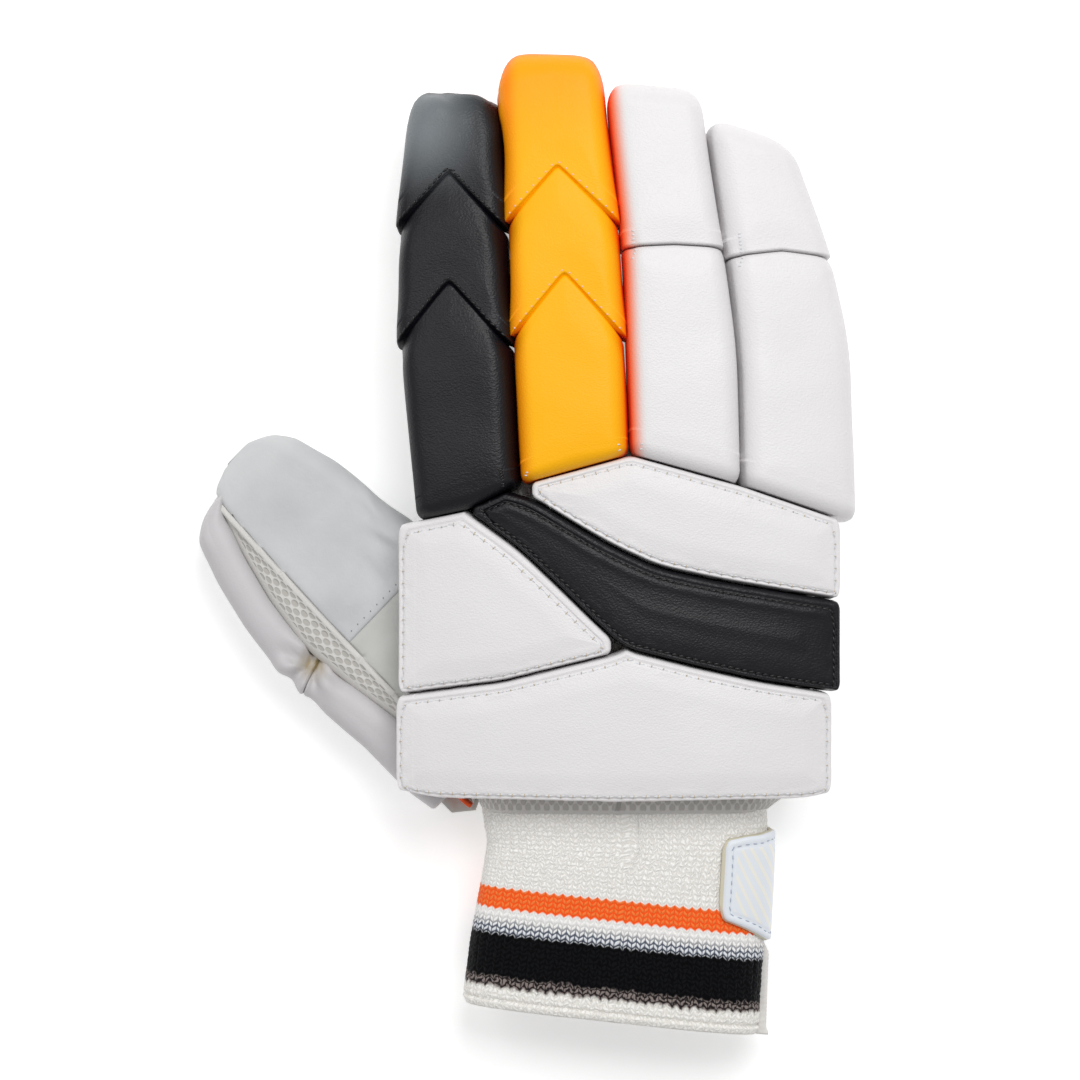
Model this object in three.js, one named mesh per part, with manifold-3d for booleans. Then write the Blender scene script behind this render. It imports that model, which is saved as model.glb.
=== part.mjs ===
// A padded cricket batting glove for the right hand, lying on its palm.
// Millimetres. +Z is the back of the hand, +Y the fingertips, -X the thumb. The origin is under
// the middle of the palm, on the surface that the glove lies on.
import * as THREE from "three";
import { mergeVertices } from "three/addons/utils/BufferGeometryUtils.js";
import Module from "manifold-3d";

const wasm = await Module();
wasm.setup();

// The hand inside the glove.
const HAND_WIDTH = 123; // across the four fingers, along the back of the hand
const PALM_LENGTH = 102.5; // from the wrist seam to the peak of the knuckle line
const FINGER_LENGTH = 118; // from that peak to the end of the longest roll
const HAND_DEPTH = 31; // from palm to back at the knuckles
const TIP_DEPTH = 19; // the same at the end of the longest finger
const ARCH_DROP = 7.2; // how far the back falls from its middle to the outer edge of the hand
const HAND_EDGE = 11; // round edge along the sides of the hand
const STALL_EDGE = 7.5; // the same along a finger stall
const WALL = 1.6; // leather and mesh
const SEAM = 0.3; // between two pieces that are sewn edge to edge
const SEAT = 0.4; // between padding and the mesh that it is sewn on
const FINGER_SPACE = 4.6; // between two finger stalls

// The padding on the back.
const ROLL_HEIGHT = 17;
const ROLL_SPACE = 1; // between the foot of one roll and the next
const ROLL_EDGE = 5; // round edge along a roll
const ROLL_SLOPE = 0.6; // how far a roll's side leans in
const ROLL_CORNER = 1.5; // round corners at a roll's foot
const TIP_EDGE = 8; // round end of a roll over the fingertip
const TIP_OVERHANG = 6; // how far a roll reaches past the stall under it
const JOINT_EDGE = 2.4; // round end of a roll where it bends
const JOINT_CORNER = 0.4;
const JOINT_SPACE = 0.5; // between two pieces of one roll
const PAD_HEIGHT = 14;
const PAD_SPACE = 0.9; // between two pads, and between pads and rolls
const PAD_EDGE = 2.6; // round top edge of a pad
const PAD_CORNER = 4; // round corner of a pad's outline
const PAD_SLOPE = 2.2; // how far a pad's side leans in
const FOOT_EDGE = 1.2; // chamfer round the foot of rolls and pads

// The thumb, which leaves the palm at an angle, and the guard along its outside.
const THUMB_LENGTH = 72; // from the palm's side to the tip
const THUMB_WIDTH = 49; // across the stall where it leaves the palm
const THUMB_DEPTH = 24;
const THUMB_ANGLE = 46; // degrees from the fingers
const THUMB_EDGE = 9; // round edge of the stall
const GUARD_THICKNESS = 10;
const GUARD_HEIGHT = 22.5;
const GUARD_EDGE = 4.5;
const GUARD_END = 1.5; // round ends of its pieces
const GUARD_SPACE = 0.8; // between the two pieces of the guard
const GUARD_FLOOR = 0.6; // height of its lower edge over the floor

// The knitted wrist.
const CUFF_LENGTH = 63.5;
const CUFF_WIDTH = 88.7; // at the mouth
const CUFF_DEPTH = 30;
const WAIST = 2.2; // how far the waist draws in on the thumb's side
const KNIT = 2.8; // thickness of the knitted band
const CUFF_LIFT = 3.2; // the cuff's clearance over the floor, where the tab passes under it
const CUFF_SLANT_SHARE = 0.109; // how much faster the mouth falls away towards the little finger
const SPLIT_GAP = 3.4; // slit on the little finger's side
const BINDING_PROUD = 1.9; // how far the binding of the slit stands out
const TAB_LENGTH = 29; // along the wrist
const TAB_THICKNESS = 2;
const TAB_CHAMFER = 0.6; // round edge of the tab
const PIPING_LENGTH = 7; // at the heel of the thumb
const PIPING_WIDTH = 1.6;
const PIPING_HEIGHT = 9;

const halfHand = HAND_WIDTH / 2;
const PALM_CENTRE = 0.478; // share of the palm's length that lies behind the origin
const DEGREES = Math.PI / 180;

// Shares of the hand's sizes, turned into places.
const across = (share) => share * halfHand;
const alongPalm = (share) => (share - PALM_CENTRE) * PALM_LENGTH;
const alongFinger = (share) => alongPalm(1) + share * FINGER_LENGTH;

// Reads one column of a table at a place between its rows.
function read(rows, key, at, column) {
  const last = rows.length - 1;
  const i = Math.min(Math.max(rows.findIndex((row) => row[key] >= at), 1), last);
  const [a, b] = at > rows[last][key] ? rows.slice(-2) : [rows[i - 1], rows[i]];
  const t = (at - a[key]) / (b[key] - a[key]);
  return column(a) + t * (column(b) - column(a));
}

// The peak of the knuckle line divides rolls from pads. x and y are shares of half the hand's
// width and of the palm's length.
const KNUCKLE_LINE = [
  { x: -1.06, y: 0.8 },
  { x: -0.7, y: 0.845 },
  { x: -0.46, y: 0.915 },
  { x: 0.05, y: 1.0 },
  { x: 0.55, y: 0.915 },
  { x: 1.08, y: 0.805 },
];
const knuckleLine = (x) => alongPalm(read(KNUCKLE_LINE, "x", x / halfHand, (row) => row.y));

// The five sides of the four fingers, as shares of half the hand's width, from the knuckles
// (0) to the longest fingertip (1). They lean towards the thumb near the tips.
const FINGER_SIDES = [
  { y: -0.07, sides: [-0.945, -0.455, 0.049, 0.555, 1.08] },
  { y: 0.27, sides: [-1.01, -0.491, 0.026, 0.54, 1.06] },
  { y: 0.51, sides: [-1.02, -0.513, 0.01, 0.48, 0.965] },
  { y: 0.81, sides: [-0.985, -0.535, -0.049, 0.398, 0.765] },
  { y: 1.0, sides: [-0.945, -0.545, -0.075, 0.36, 0.63] },
];
const fingerSide = (side, y) =>
  across(read(FINGER_SIDES, "y", (y - alongPalm(1)) / FINGER_LENGTH, (row) => row.sides[side]));

// Where each roll bends, as shares of the finger's length: at its sides, and at its middle,
// where the black and the amber roll have a point. tip is the roll's end, slant is how far that
// end falls towards the little finger, and corner is its round corner as a share of TIP_EDGE.
const FINGERS = [
  { name: "index", colour: 0x1d1d20, tip: 0.895, slant: -0.02, corner: 0.38,
    joints: [{ sides: 0.258, middle: 0.422 }, { sides: 0.545, middle: 0.69 }] },
  { name: "middle", colour: 0xf7a313, tip: 0.992, slant: -0.01, corner: 0.56,
    joints: [{ sides: 0.273, middle: 0.439 }, { sides: 0.555, middle: 0.702 }] },
  { name: "ring", colour: 0xe9e7e8, tip: 0.912, slant: -0.02, corner: 0.5,
    joints: [{ sides: 0.502, middle: 0.508 }] },
  { name: "little", colour: 0xe9e7e8, tip: 0.805, slant: -0.07, corner: 0.75,
    joints: [{ sides: 0.48, middle: 0.495 }] },
];

// Depth of the hand at its middle: level over the palm, then curving down to the fingertips.
const BEND_START = 0.7; // share of the palm's length where the fall begins
function depthAt(y) {
  const start = alongPalm(BEND_START);
  const share = Math.max(0, y - start) / (alongFinger(1) - start);
  return HAND_DEPTH - (HAND_DEPTH - TIP_DEPTH) * share * share;
}

// Height of the back of the hand, which is arched across.
const backHeight = (x, y) => depthAt(y) - ARCH_DROP * (x / halfHand) ** 2;

// A point of the padding: h above the back of the hand at x, y, measured square to it.
function overBack(x, y, h) {
  const step = 1;
  const fallX = (backHeight(x - step, y) - backHeight(x + step, y)) / (2 * step);
  const fallY = (backHeight(x, y - step) - backHeight(x, y + step)) / (2 * step);
  const normal = new THREE.Vector3(fallX, fallY, 1).normalize();
  return new THREE.Vector3(x, y, backHeight(x, y)).addScaledVector(normal, h);
}

// A closed mesh through rings of points, each ring with as many points as the next.
function loft(rings) {
  const positions = [];
  const faces = [];
  const size = rings[0].length;
  rings.flat().forEach((p) => positions.push(p.x, p.y, p.z));
  for (let r = 0; r < rings.length - 1; r++)
    for (let i = 0; i < size; i++) {
      const [a, b] = [r * size + i, r * size + ((i + 1) % size)];
      faces.push(a, b, a + size, b, b + size, a + size);
    }
  const cap = (ring, start, outwards) => {
    const middle = ring.reduce((sum, p) => sum.add(p), new THREE.Vector3());
    middle.divideScalar(size);
    const centre = positions.length / 3;
    positions.push(middle.x, middle.y, middle.z);
    for (let i = 0; i < size; i++) {
      const pair = [start + i, start + ((i + 1) % size)];
      faces.push(centre, ...(outwards ? pair : pair.reverse()));
    }
  };
  cap(rings[0], 0, false);
  cap(rings.at(-1), (rings.length - 1) * size, true);
  // The faces point outwards whichever way round the rings run.
  const corner = (i) => new THREE.Vector3().fromArray(positions, 3 * faces[i]);
  let volume = 0;
  for (let i = 0; i < faces.length; i += 3)
    volume += corner(i).dot(corner(i + 1).cross(corner(i + 2)));
  if (volume < 0) faces.reverse();
  const made = new THREE.BufferGeometry();
  made.setAttribute("position", new THREE.Float32BufferAttribute(positions, 3));
  return made.setIndex(faces);
}

// A mesh as a solid for cutting and joining.
function solidOf(geometry) {
  const bare = geometry.index ? geometry.toNonIndexed() : geometry.clone();
  bare.deleteAttribute("normal");
  bare.deleteAttribute("uv");
  const merged = mergeVertices(bare, 1e-4);
  return new wasm.Manifold(new wasm.Mesh({
    numProp: 3,
    vertProperties: merged.attributes.position.array,
    triVerts: new Uint32Array(merged.index.array),
  }));
}

function geometryOf(solid) {
  const mesh = solid.getMesh();
  const made = new THREE.BufferGeometry();
  made.setAttribute("position", new THREE.BufferAttribute(new Float32Array(mesh.vertProperties), 3));
  return made.setIndex(new THREE.BufferAttribute(new Uint32Array(mesh.triVerts), 1));
}

// Points on a quarter circle from the top to the side, as how far each lies in from the side and
// down from the top.
const ROUND_STEPS = 3;
const quarter = (radius) =>
  Array.from({ length: ROUND_STEPS }, (_, i) => {
    const angle = (i / (ROUND_STEPS - 1)) * (Math.PI / 2);
    return { side: radius * (1 - Math.sin(angle)), down: radius * (1 - Math.cos(angle)) };
  });

// The stalls and the hand: a ring of a rounded section that stands on the floor. top gives the
// height over it, and inset shrinks it for the inside of the wall.
function standingRing({ left, right, floor, top, edge, inset, place, topSteps }) {
  const [a, b, low] = [left + inset, right - inset, floor + inset];
  const radius = edge - inset;
  const points = [];
  const corner = quarter(radius);
  const high = (u) => top(u) - inset;
  corner.forEach((c) => points.push([b - c.side, low + c.down]));
  [...corner].reverse().forEach((c) => points.push([b - c.side, high(b - c.side) - c.down]));
  for (let i = 1; i < topSteps; i++) {
    const u = b - radius + ((a + radius - (b - radius)) * i) / topSteps;
    points.push([u, high(u)]);
  }
  corner.forEach((c) => points.push([a + c.side, high(a + c.side) - c.down]));
  [...corner].reverse().forEach((c) => points.push([a + c.side, low + c.down]));
  return points.map(([u, z]) => place(u, z));
}

// Outline of the hand, from the wrist seam (0) past the knuckles (1) to the crotch of the fingers.
const CROTCH_SHARE = 1.14;
const HAND_ROWS = [
  { y: 0, left: -0.66, right: 0.73 },
  { y: 0.04, left: -0.71, right: 0.85 },
  { y: 0.22, left: -0.8, right: 0.92 },
  { y: 0.5, left: -0.86, right: 0.945 },
  { y: 0.8, left: -0.89, right: 0.98 },
  { y: CROTCH_SHARE, left: -0.93, right: 1.025 },
];

function handVolume(inset) {
  const rings = HAND_ROWS.map((row, i) => {
    const end = i === 0 ? -2 * inset : i === HAND_ROWS.length - 1 ? -inset : 0;
    const y = alongPalm(row.y) + end;
    return standingRing({
      left: across(row.left),
      right: across(row.right),
      floor: 0,
      top: (x) => backHeight(x, y),
      edge: HAND_EDGE,
      inset,
      topSteps: 7,
      place: (x, z) => new THREE.Vector3(x, y, z),
    });
  });
  return solidOf(loft(rings));
}

// A finger stall, from inside the hand to its tip under the end of the roll. low and high draw
// the section in from below and above, as shares of the fingertip's depth.
const STALL_ROOT_SHARE = 1.06; // share of the palm's length
const STALL_ROWS = [
  { at: 0, width: 1, low: 0, high: 0, edge: 1 },
  { at: 0.35, width: 1, low: 0, high: 0, edge: 1 },
  { at: 0.7, width: 0.96, low: 0.01, high: 0.02, edge: 1 },
  { at: 0.9, width: 0.9, low: 0.025, high: 0.05, edge: 0.95 },
  { at: 0.965, width: 0.76, low: 0.06, high: 0.12, edge: 0.85 },
  { at: 1, width: 0.5, low: 0.125, high: 0.25, edge: 0.7 },
];

function stallVolume(side, inset) {
  const root = alongPalm(STALL_ROOT_SHARE);
  const tip = alongFinger(FINGERS[side].tip) - TIP_OVERHANG - inset;
  const rings = STALL_ROWS.map((row) => {
    const y = root + row.at * (tip - root);
    const [near, far] = [fingerSide(side, y), fingerSide(side + 1, y)];
    const middle = (near + far) / 2;
    const halfWidth = ((far - near - FINGER_SPACE) / 2) * row.width;
    return standingRing({
      left: middle - halfWidth,
      right: middle + halfWidth,
      floor: row.low * TIP_DEPTH,
      top: (x) => backHeight(x, y) - row.high * TIP_DEPTH,
      edge: row.edge * STALL_EDGE,
      inset,
      topSteps: 2,
      place: (x, z) => new THREE.Vector3(x, y, z),
    });
  });
  return solidOf(loft(rings));
}

// The thumb has its own frame: s along it from the side of the palm, t across it, away from
// the fingers. Shares of s count the thumb's length, and behind the root the palm's heel.
const THUMB_ROOT = { x: -1.055, y: 0.472 };
const alongThumb = new THREE.Vector3(
  -Math.sin(THUMB_ANGLE * DEGREES), Math.cos(THUMB_ANGLE * DEGREES), 0);
const acrossThumb = new THREE.Vector3(
  -Math.cos(THUMB_ANGLE * DEGREES), -Math.sin(THUMB_ANGLE * DEGREES), 0);
const thumbPlace = (s, t, z) =>
  new THREE.Vector3(across(THUMB_ROOT.x), alongPalm(THUMB_ROOT.y), z)
    .addScaledVector(alongThumb, s)
    .addScaledVector(acrossThumb, t);
const heelLength = THUMB_ROOT.y * PALM_LENGTH;
const alongThumbAxis = (share) => share * (share > 0 ? THUMB_LENGTH : heelLength);
const thumbShare = (s) => s / (s > 0 ? THUMB_LENGTH : heelLength);

// Sections of the thumb: the inner and outer side as shares of its width, its floor and depth as
// shares of its depth, and its round edge as a share of that of the stall.
const THUMB_ROWS = [
  { s: -1.0, inner: -0.1, outer: 0.385, floor: 0, depth: 0.95, edge: 1 },
  { s: -0.68, inner: -0.3, outer: 0.36, floor: 0, depth: 1.0, edge: 1 },
  { s: -0.3, inner: -0.5, outer: 0.385, floor: 0, depth: 1.0, edge: 1 },
  { s: 0.02, inner: -0.57, outer: 0.43, floor: 0, depth: 1.0, edge: 1 },
  { s: 0.27, inner: -0.56, outer: 0.455, floor: 0, depth: 0.98, edge: 1 },
  { s: 0.5, inner: -0.525, outer: 0.4, floor: 0, depth: 0.94, edge: 1 },
  { s: 0.72, inner: -0.49, outer: 0.315, floor: 0, depth: 0.88, edge: 1 },
  { s: 0.88, inner: -0.43, outer: 0.24, floor: 0.02, depth: 0.8, edge: 0.92 },
  { s: 0.96, inner: -0.34, outer: 0.14, floor: 0.07, depth: 0.64, edge: 0.7 },
  { s: 1.0, inner: -0.22, outer: 0.02, floor: 0.13, depth: 0.44, edge: 0.45 },
];
const thumbOuter = (s) => THUMB_WIDTH * read(THUMB_ROWS, "s", thumbShare(s), (row) => row.outer);

// The pads reach out over the root of the thumb, so everything there stays below them.
const PAD_REACH_SHARE = 1.04; // share of half the hand's width
const underPads = (y) => backHeight(across(PAD_REACH_SHARE), y);

function thumbVolume(inset) {
  const last = THUMB_ROWS.length - 1;
  const rings = THUMB_ROWS.map((row, i) => {
    const s = alongThumbAxis(row.s) + (i === 0 ? inset : i === last ? -inset : 0);
    return standingRing({
      left: row.inner * THUMB_WIDTH,
      right: row.outer * THUMB_WIDTH,
      floor: row.floor * THUMB_DEPTH,
      top: (t) => Math.min(row.depth * THUMB_DEPTH, underPads(thumbPlace(s, t, 0).y)),
      edge: row.edge * THUMB_EDGE,
      inset,
      topSteps: 2,
      place: (t, z) => thumbPlace(s, t, z),
    });
  });
  return solidOf(loft(rings));
}

// Boxes much larger than the glove, to cut it along planes.
const farOut = 3 * (PALM_LENGTH + FINGER_LENGTH + CUFF_LENGTH);
function region({ x = [-farOut, farOut], y = [-farOut, farOut], z = [-farOut, farOut] }) {
  const box = new THREE.BoxGeometry(x[1] - x[0], y[1] - y[0], z[1] - z[0]);
  return box.translate((x[0] + x[1]) / 2, (y[0] + y[1]) / 2, (z[0] + z[1]) / 2);
}

// A region in the thumb's frame: turned so that its +Y runs along the thumb and its -X runs
// across it, away from the fingers.
const inThumbFrame = (box, extraTurn = 0) =>
  box.rotateZ((THUMB_ANGLE + extraTurn) * DEGREES).translate(...thumbPlace(0, 0, 0).toArray());

// The hollow skin of hand, thumb and finger roots.
const SIDES = [0, 1, 2, 3];
const volume = (inset) =>
  SIDES.map((side) => stallVolume(side, inset))
    .concat(thumbVolume(inset))
    .reduce((sum, part) => sum.add(part), handVolume(inset));
const cut = (solid, ...boxes) =>
  boxes.reduce((rest, box) => rest.intersect(solidOf(box)), solid);
const without = (solid, ...others) => others.reduce((rest, other) => rest.subtract(other), solid);

// The seams that divide the skin. Each side of a seam keeps half of its gap.
const halfSeam = SEAM / 2;
const STALL_SEAM_SHARE = 1.16; // share of the palm's length where the finger stalls are sewn on
const stallSeam = alongPalm(STALL_SEAM_SHARE);
const FRONT_RISE_SHARE = 0.42; // how far up the leather fronts reach, as a share of the fingertip's depth
const frontTop = FRONT_RISE_SHARE * TIP_DEPTH;
const PALM_RISE_SHARE = 0.36; // how far up the palm's sides reach, as a share of the hand's depth
const palmTop = PALM_RISE_SHARE * HAND_DEPTH;
const webEdge = across(-0.72); // between mesh back and web leather
const thumbSeam = alongThumbAxis(0.14); // where the thumb stall is sewn to the palm
const thumbInner = THUMB_WIDTH * 0.6; // past the inner side of the thumb stall
const GUSSET_ANGLE = -3; // degrees between the mesh strip and the thumb
const gussetSide = -THUMB_WIDTH * 0.235; // inner side of the mesh strip, in the thumb's frame
const gussetFoot = THUMB_DEPTH * 0.16;
const gussetEnd = alongThumbAxis(-0.68);
const gussetInner = across(-0.5);

const palmSkin = cut(without(volume(0), volume(WALL)),
  region({ y: [alongPalm(0), stallSeam - halfSeam] }));

// The mesh strip along the thumb, grown by a gap where it is cut from its neighbours.
function gussetZone(gap) {
  const strip = inThumbFrame(
    region({ x: [-farOut, gussetSide + gap], z: [gussetFoot - gap, farOut] }), GUSSET_ANGLE);
  const length = inThumbFrame(region({ y: [gussetEnd - gap, farOut] }));
  return cut(solidOf(strip), length, region({ x: [-farOut, gussetInner] }));
}

// The thumb stall beyond its seam, and no part of the hand beside it.
const thumbZone = (gap) =>
  cut(solidOf(inThumbFrame(region({ x: [-farOut, thumbInner + gap], y: [thumbSeam - gap, farOut] }))),
    region({ x: [-farOut, webEdge + gap] }));

const thumbGusset = palmSkin.intersect(gussetZone(-halfSeam));
const thumbLeather = without(palmSkin.intersect(thumbZone(-halfSeam)), gussetZone(halfSeam));
const handSkin = without(palmSkin, gussetZone(halfSeam), thumbZone(halfSeam));
const palmLeather = cut(handSkin, region({ z: [-farOut, palmTop - halfSeam] }));
const webLeather = cut(handSkin,
  region({ x: [-farOut, webEdge - halfSeam], z: [palmTop + halfSeam, farOut] }));
const backMesh = cut(handSkin,
  region({ x: [webEdge + halfSeam, farOut], z: [palmTop + halfSeam, farOut] }));

// Booleans can leave slivers: a piece keeps its largest body.
function largest(solid) {
  const bodies = solid.decompose();
  return bodies.reduce((best, body) => (body.volume() > best.volume() ? body : best), bodies[0]);
}

// Materials, one for each finish.
const finish = (color, roughness) => new THREE.MeshStandardMaterial({ color, roughness, metalness: 0 });
const PALM_LEATHER = finish(0xdcdddd, 0.6);
const MESH = finish(0xe6e5e1, 0.9);
const WHITE = finish(0xe9e7e8, 0.45);
const BLACK = finish(0x1d1d20, 0.42);
const KNITTED = finish(0xe4e2dc, 0.95);
const TAB_WHITE = finish(0xe6eaef, 0.4);
const ORANGE = finish(0xf26a2a, 0.5);

const glove = new THREE.Group();
function add(name, shape, material) {
  const mesh = new THREE.Mesh(shape.isBufferGeometry ? shape : geometryOf(largest(shape)), material);
  mesh.name = name;
  mesh.geometry.computeVertexNormals();
  glove.add(mesh);
}

add("palm_leather", palmLeather, PALM_LEATHER);
add("back_mesh", backMesh, MESH);
add("web_leather", webLeather, PALM_LEATHER);
add("thumb_leather", thumbLeather, PALM_LEATHER);
add("thumb_gusset", thumbGusset, MESH);

SIDES.forEach((side) => {
  const skin = cut(without(stallVolume(side, 0), stallVolume(side, WALL)),
    region({ y: [stallSeam + halfSeam, farOut] }));
  const { name } = FINGERS[side];
  add(`${name}_front`, cut(skin, region({ z: [-farOut, frontTop - halfSeam] })), PALM_LEATHER);
  add(`${name}_gusset`, cut(skin, region({ z: [frontTop + halfSeam, farOut] })), MESH);
});

// Padding is lofted from one end to the other. place(along, v) gives x and y on the back of the
// hand, for along from 0 to 1 and v from -1 to 1 across. The section is a block with sloping sides
// and round edges. stations says where along it has a section, besides those of its round ends.
function padding({ place, height, edge, slope, ends, corner, stations }) {
  const span = (along) => place(along, -1).distanceTo(place(along, 1));
  const length = place(0, 0).distanceTo(place(1, 0));
  const roundEnd = (end) =>
    quarter(ends[end]).map(({ side, down }) => ({
      along: Math.abs(end - side / length),
      fall: down,
      narrow: (down / ends[end]) * corner[end],
    }));
  const straight = stations.map((along) => ({ along, fall: 0, narrow: 0 }));
  const sections = [...roundEnd(0).reverse(), ...straight, ...roundEnd(1)];
  return loft(sections.map(({ along, fall, narrow }) => {
    const halfSpan = span(along) / 2;
    const top = height - fall;
    const fit = Math.min(1, (halfSpan - narrow) / (slope + edge + FOOT_EDGE));
    const side = (inward) => 1 - (narrow + inward * fit) / halfSpan;
    const profile = [
      [side(FOOT_EDGE), 0],
      [side(0), FOOT_EDGE],
      ...quarter(edge).reverse().map((c) => [side(slope + c.side), top - c.down]),
      [side(slope + edge) / 2, top],
    ];
    const mirrored = profile.map(([v, h]) => [-v, h]).reverse();
    return [...profile, [0, top], ...mirrored, [0, 0]].map(([v, h]) => {
      const { x, y } = place(along, v);
      return overBack(x, y, SEAT + h);
    });
  }));
}

// One piece of a roll, between two lines across the finger.
function rollPlace(side, lowLine, highLine) {
  return (along, v) => {
    const y = THREE.MathUtils.lerp(lowLine(v), highLine(v), along);
    const near = fingerSide(side, y) + ROLL_SPACE / 2;
    const far = fingerSide(side + 1, y) - ROLL_SPACE / 2;
    return new THREE.Vector2(THREE.MathUtils.lerp(near, far, (v + 1) / 2), y);
  };
}

FINGERS.forEach((finger, side) => {
  const [near, far] = [side, side + 1].map((edge) => fingerSide(edge, alongPalm(1)));
  const foot = (v) => knuckleLine(THREE.MathUtils.lerp(near, far, (v + 1) / 2)) + PAD_SPACE / 2;
  const end = (v) => alongFinger(finger.tip + (finger.slant * v) / 2);
  const bend = (joint, gap) => (v) =>
    alongFinger(joint.middle + (joint.sides - joint.middle) * Math.abs(v)) + gap;
  const bends = finger.joints.flatMap((joint) =>
    [bend(joint, -JOINT_SPACE / 2), bend(joint, JOINT_SPACE / 2)]);
  const lines = [foot, ...bends, end];
  const names = bends.length > 2 ? ["base", "middle", "tip"] : ["base", "tip"];
  const leather = finish(finger.colour, 0.45);
  names.forEach((name, i) => {
    const last = i === names.length - 1;
    add(`${finger.name}_roll_${name}`, padding({
      place: rollPlace(side, lines[2 * i], lines[2 * i + 1]),
      height: ROLL_HEIGHT,
      edge: ROLL_EDGE,
      slope: ROLL_SLOPE,
      ends: [i === 0 ? ROLL_EDGE : JOINT_EDGE, last ? TIP_EDGE : JOINT_EDGE],
      corner: [i === 0 ? ROLL_CORNER : JOINT_CORNER, last ? finger.corner * TIP_EDGE : JOINT_CORNER],
      stations: [1 / 3, 2 / 3],
    }), leather);
  });
});

// The seams between the four pads, x and y as shares of half the hand's width and of the palm's
// length. The sweep runs between the first two, and the third parts the corner pad and the wrist
// pad. The last is the wrist pad's lower edge.
const KNUCKLE_SEAM = [
  { x: -0.4, y: 0.915 }, { x: -0.22, y: 0.825 }, { x: -0.04, y: 0.745 }, { x: 0.17, y: 0.685 },
  { x: 0.44, y: 0.648 }, { x: 0.72, y: 0.618 }, { x: 1.02, y: 0.588 },
];
const SWEEP_SEAM = [
  { x: -0.69, y: 0.84 }, { x: -0.45, y: 0.732 }, { x: -0.27, y: 0.625 }, { x: -0.1, y: 0.52 },
  { x: 0.02, y: 0.452 }, { x: 0.35, y: 0.4 }, { x: 0.64, y: 0.36 }, { x: 1.02, y: 0.322 },
];
const CORNER_SEAM = [
  { x: -1.02, y: 0.318 }, { x: -0.53, y: 0.36 }, { x: -0.03, y: 0.437 }, { x: 0.02, y: 0.452 },
];
const WRIST_EDGE = [
  { x: -1.02, y: 0.045 }, { x: -0.85, y: 0.024 }, { x: 0, y: 0.015 }, { x: 0.85, y: 0.022 },
  { x: 1.02, y: 0.045 },
];
const seamAt = (rows) => (x) => alongPalm(read(rows, "x", x / halfHand, (row) => row.y));
const [knuckleSeam, sweepSeam, cornerSeam, wristEdge] =
  [KNUCKLE_SEAM, SWEEP_SEAM, CORNER_SEAM, WRIST_EDGE].map(seamAt);

const END_SHARE = 0.06; // of a pad's length, at its ends
const NEAR_SHARE = 0.02; // sections nearer than this are one

// A pad between two seams, lofted from the thumb's side to the little finger's. It has a section
// at each point of the tables named in rows that lies well inside it.
function backPad({ from, to, low, high, corner, rows }) {
  const place = (along, v) => {
    const x = across(THREE.MathUtils.lerp(from, to, along));
    const [bottom, top] = [low(x) + PAD_SPACE / 2, high(x) - PAD_SPACE / 2];
    return new THREE.Vector2(x, THREE.MathUtils.lerp(top, bottom, (v + 1) / 2));
  };
  const inner = rows.flat().map((row) => (row.x - from) / (to - from)).sort((a, b) => a - b);
  const stations = inner.filter((along, i) => along > END_SHARE && along < 1 - END_SHARE
    && !(along - inner[i - 1] < NEAR_SHARE));
  return padding({
    place, height: PAD_HEIGHT, edge: PAD_EDGE, slope: PAD_SLOPE, ends: [PAD_EDGE, PAD_EDGE],
    corner, stations,
  });
}
const POINTED_SHARE = 0.2; // a pad's end that runs out between two seams
add("knuckle_pad", backPad({
  from: -0.375, to: 1.0, low: knuckleSeam, high: knuckleLine,
  rows: [KNUCKLE_SEAM, KNUCKLE_LINE], corner: [POINTED_SHARE, PAD_CORNER],
}), WHITE);
add("sweep_pad", backPad({
  from: -0.66, to: 1.0, low: sweepSeam, high: (x) => Math.min(knuckleSeam(x), knuckleLine(x)),
  rows: [SWEEP_SEAM, KNUCKLE_SEAM], corner: [POINTED_SHARE, PAD_CORNER],
}), BLACK);
add("corner_pad", backPad({
  from: -1.0, to: -0.04, low: cornerSeam, high: (x) => Math.min(sweepSeam(x), knuckleLine(x)),
  rows: [SWEEP_SEAM, CORNER_SEAM], corner: [PAD_CORNER, POINTED_SHARE],
}), WHITE);
add("wrist_pad", backPad({
  from: -1.01, to: 0.96, low: wristEdge, high: (x) => Math.min(cornerSeam(x), sweepSeam(x)),
  rows: [CORNER_SEAM, SWEEP_SEAM, WRIST_EDGE], corner: [PAD_CORNER, PAD_CORNER],
}), WHITE);

// The guard along the outside of the thumb, in two pieces: thickness and height as shares.
const GUARD_SPLIT_SHARE = 0.12;
const GUARD_ROWS = [
  { s: -0.88, thickness: 1.1, height: 0.9 },
  { s: -0.68, thickness: 1.3, height: 1 },
  { s: -0.3, thickness: 1.13, height: 1 },
  { s: 0.02, thickness: 1.0, height: 1 },
  { s: 0.1, thickness: 0.98, height: 1 },
  { s: 0.27, thickness: 0.93, height: 1 },
  { s: 0.5, thickness: 0.95, height: 1 },
  { s: 0.72, thickness: 0.97, height: 0.97 },
  { s: 0.88, thickness: 1.0, height: 0.92 },
  { s: 0.94, thickness: 0.85, height: 0.84 },
];
function guardRing(s, slim) {
  const column = (name) => read(GUARD_ROWS, "s", thumbShare(s), (row) => row[name]);
  const inner = thumbOuter(s) + SEAT;
  const top = GUARD_FLOOR + column("height") * GUARD_HEIGHT;
  return standingRing({
    left: inner,
    right: inner + column("thickness") * GUARD_THICKNESS - slim,
    floor: GUARD_FLOOR + slim,
    top: (t) => Math.min(top, underPads(thumbPlace(s, t, 0).y)) - slim,
    edge: GUARD_EDGE - slim,
    inset: 0,
    topSteps: 1,
    place: (t, z) => thumbPlace(s, t, z),
  });
}

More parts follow.
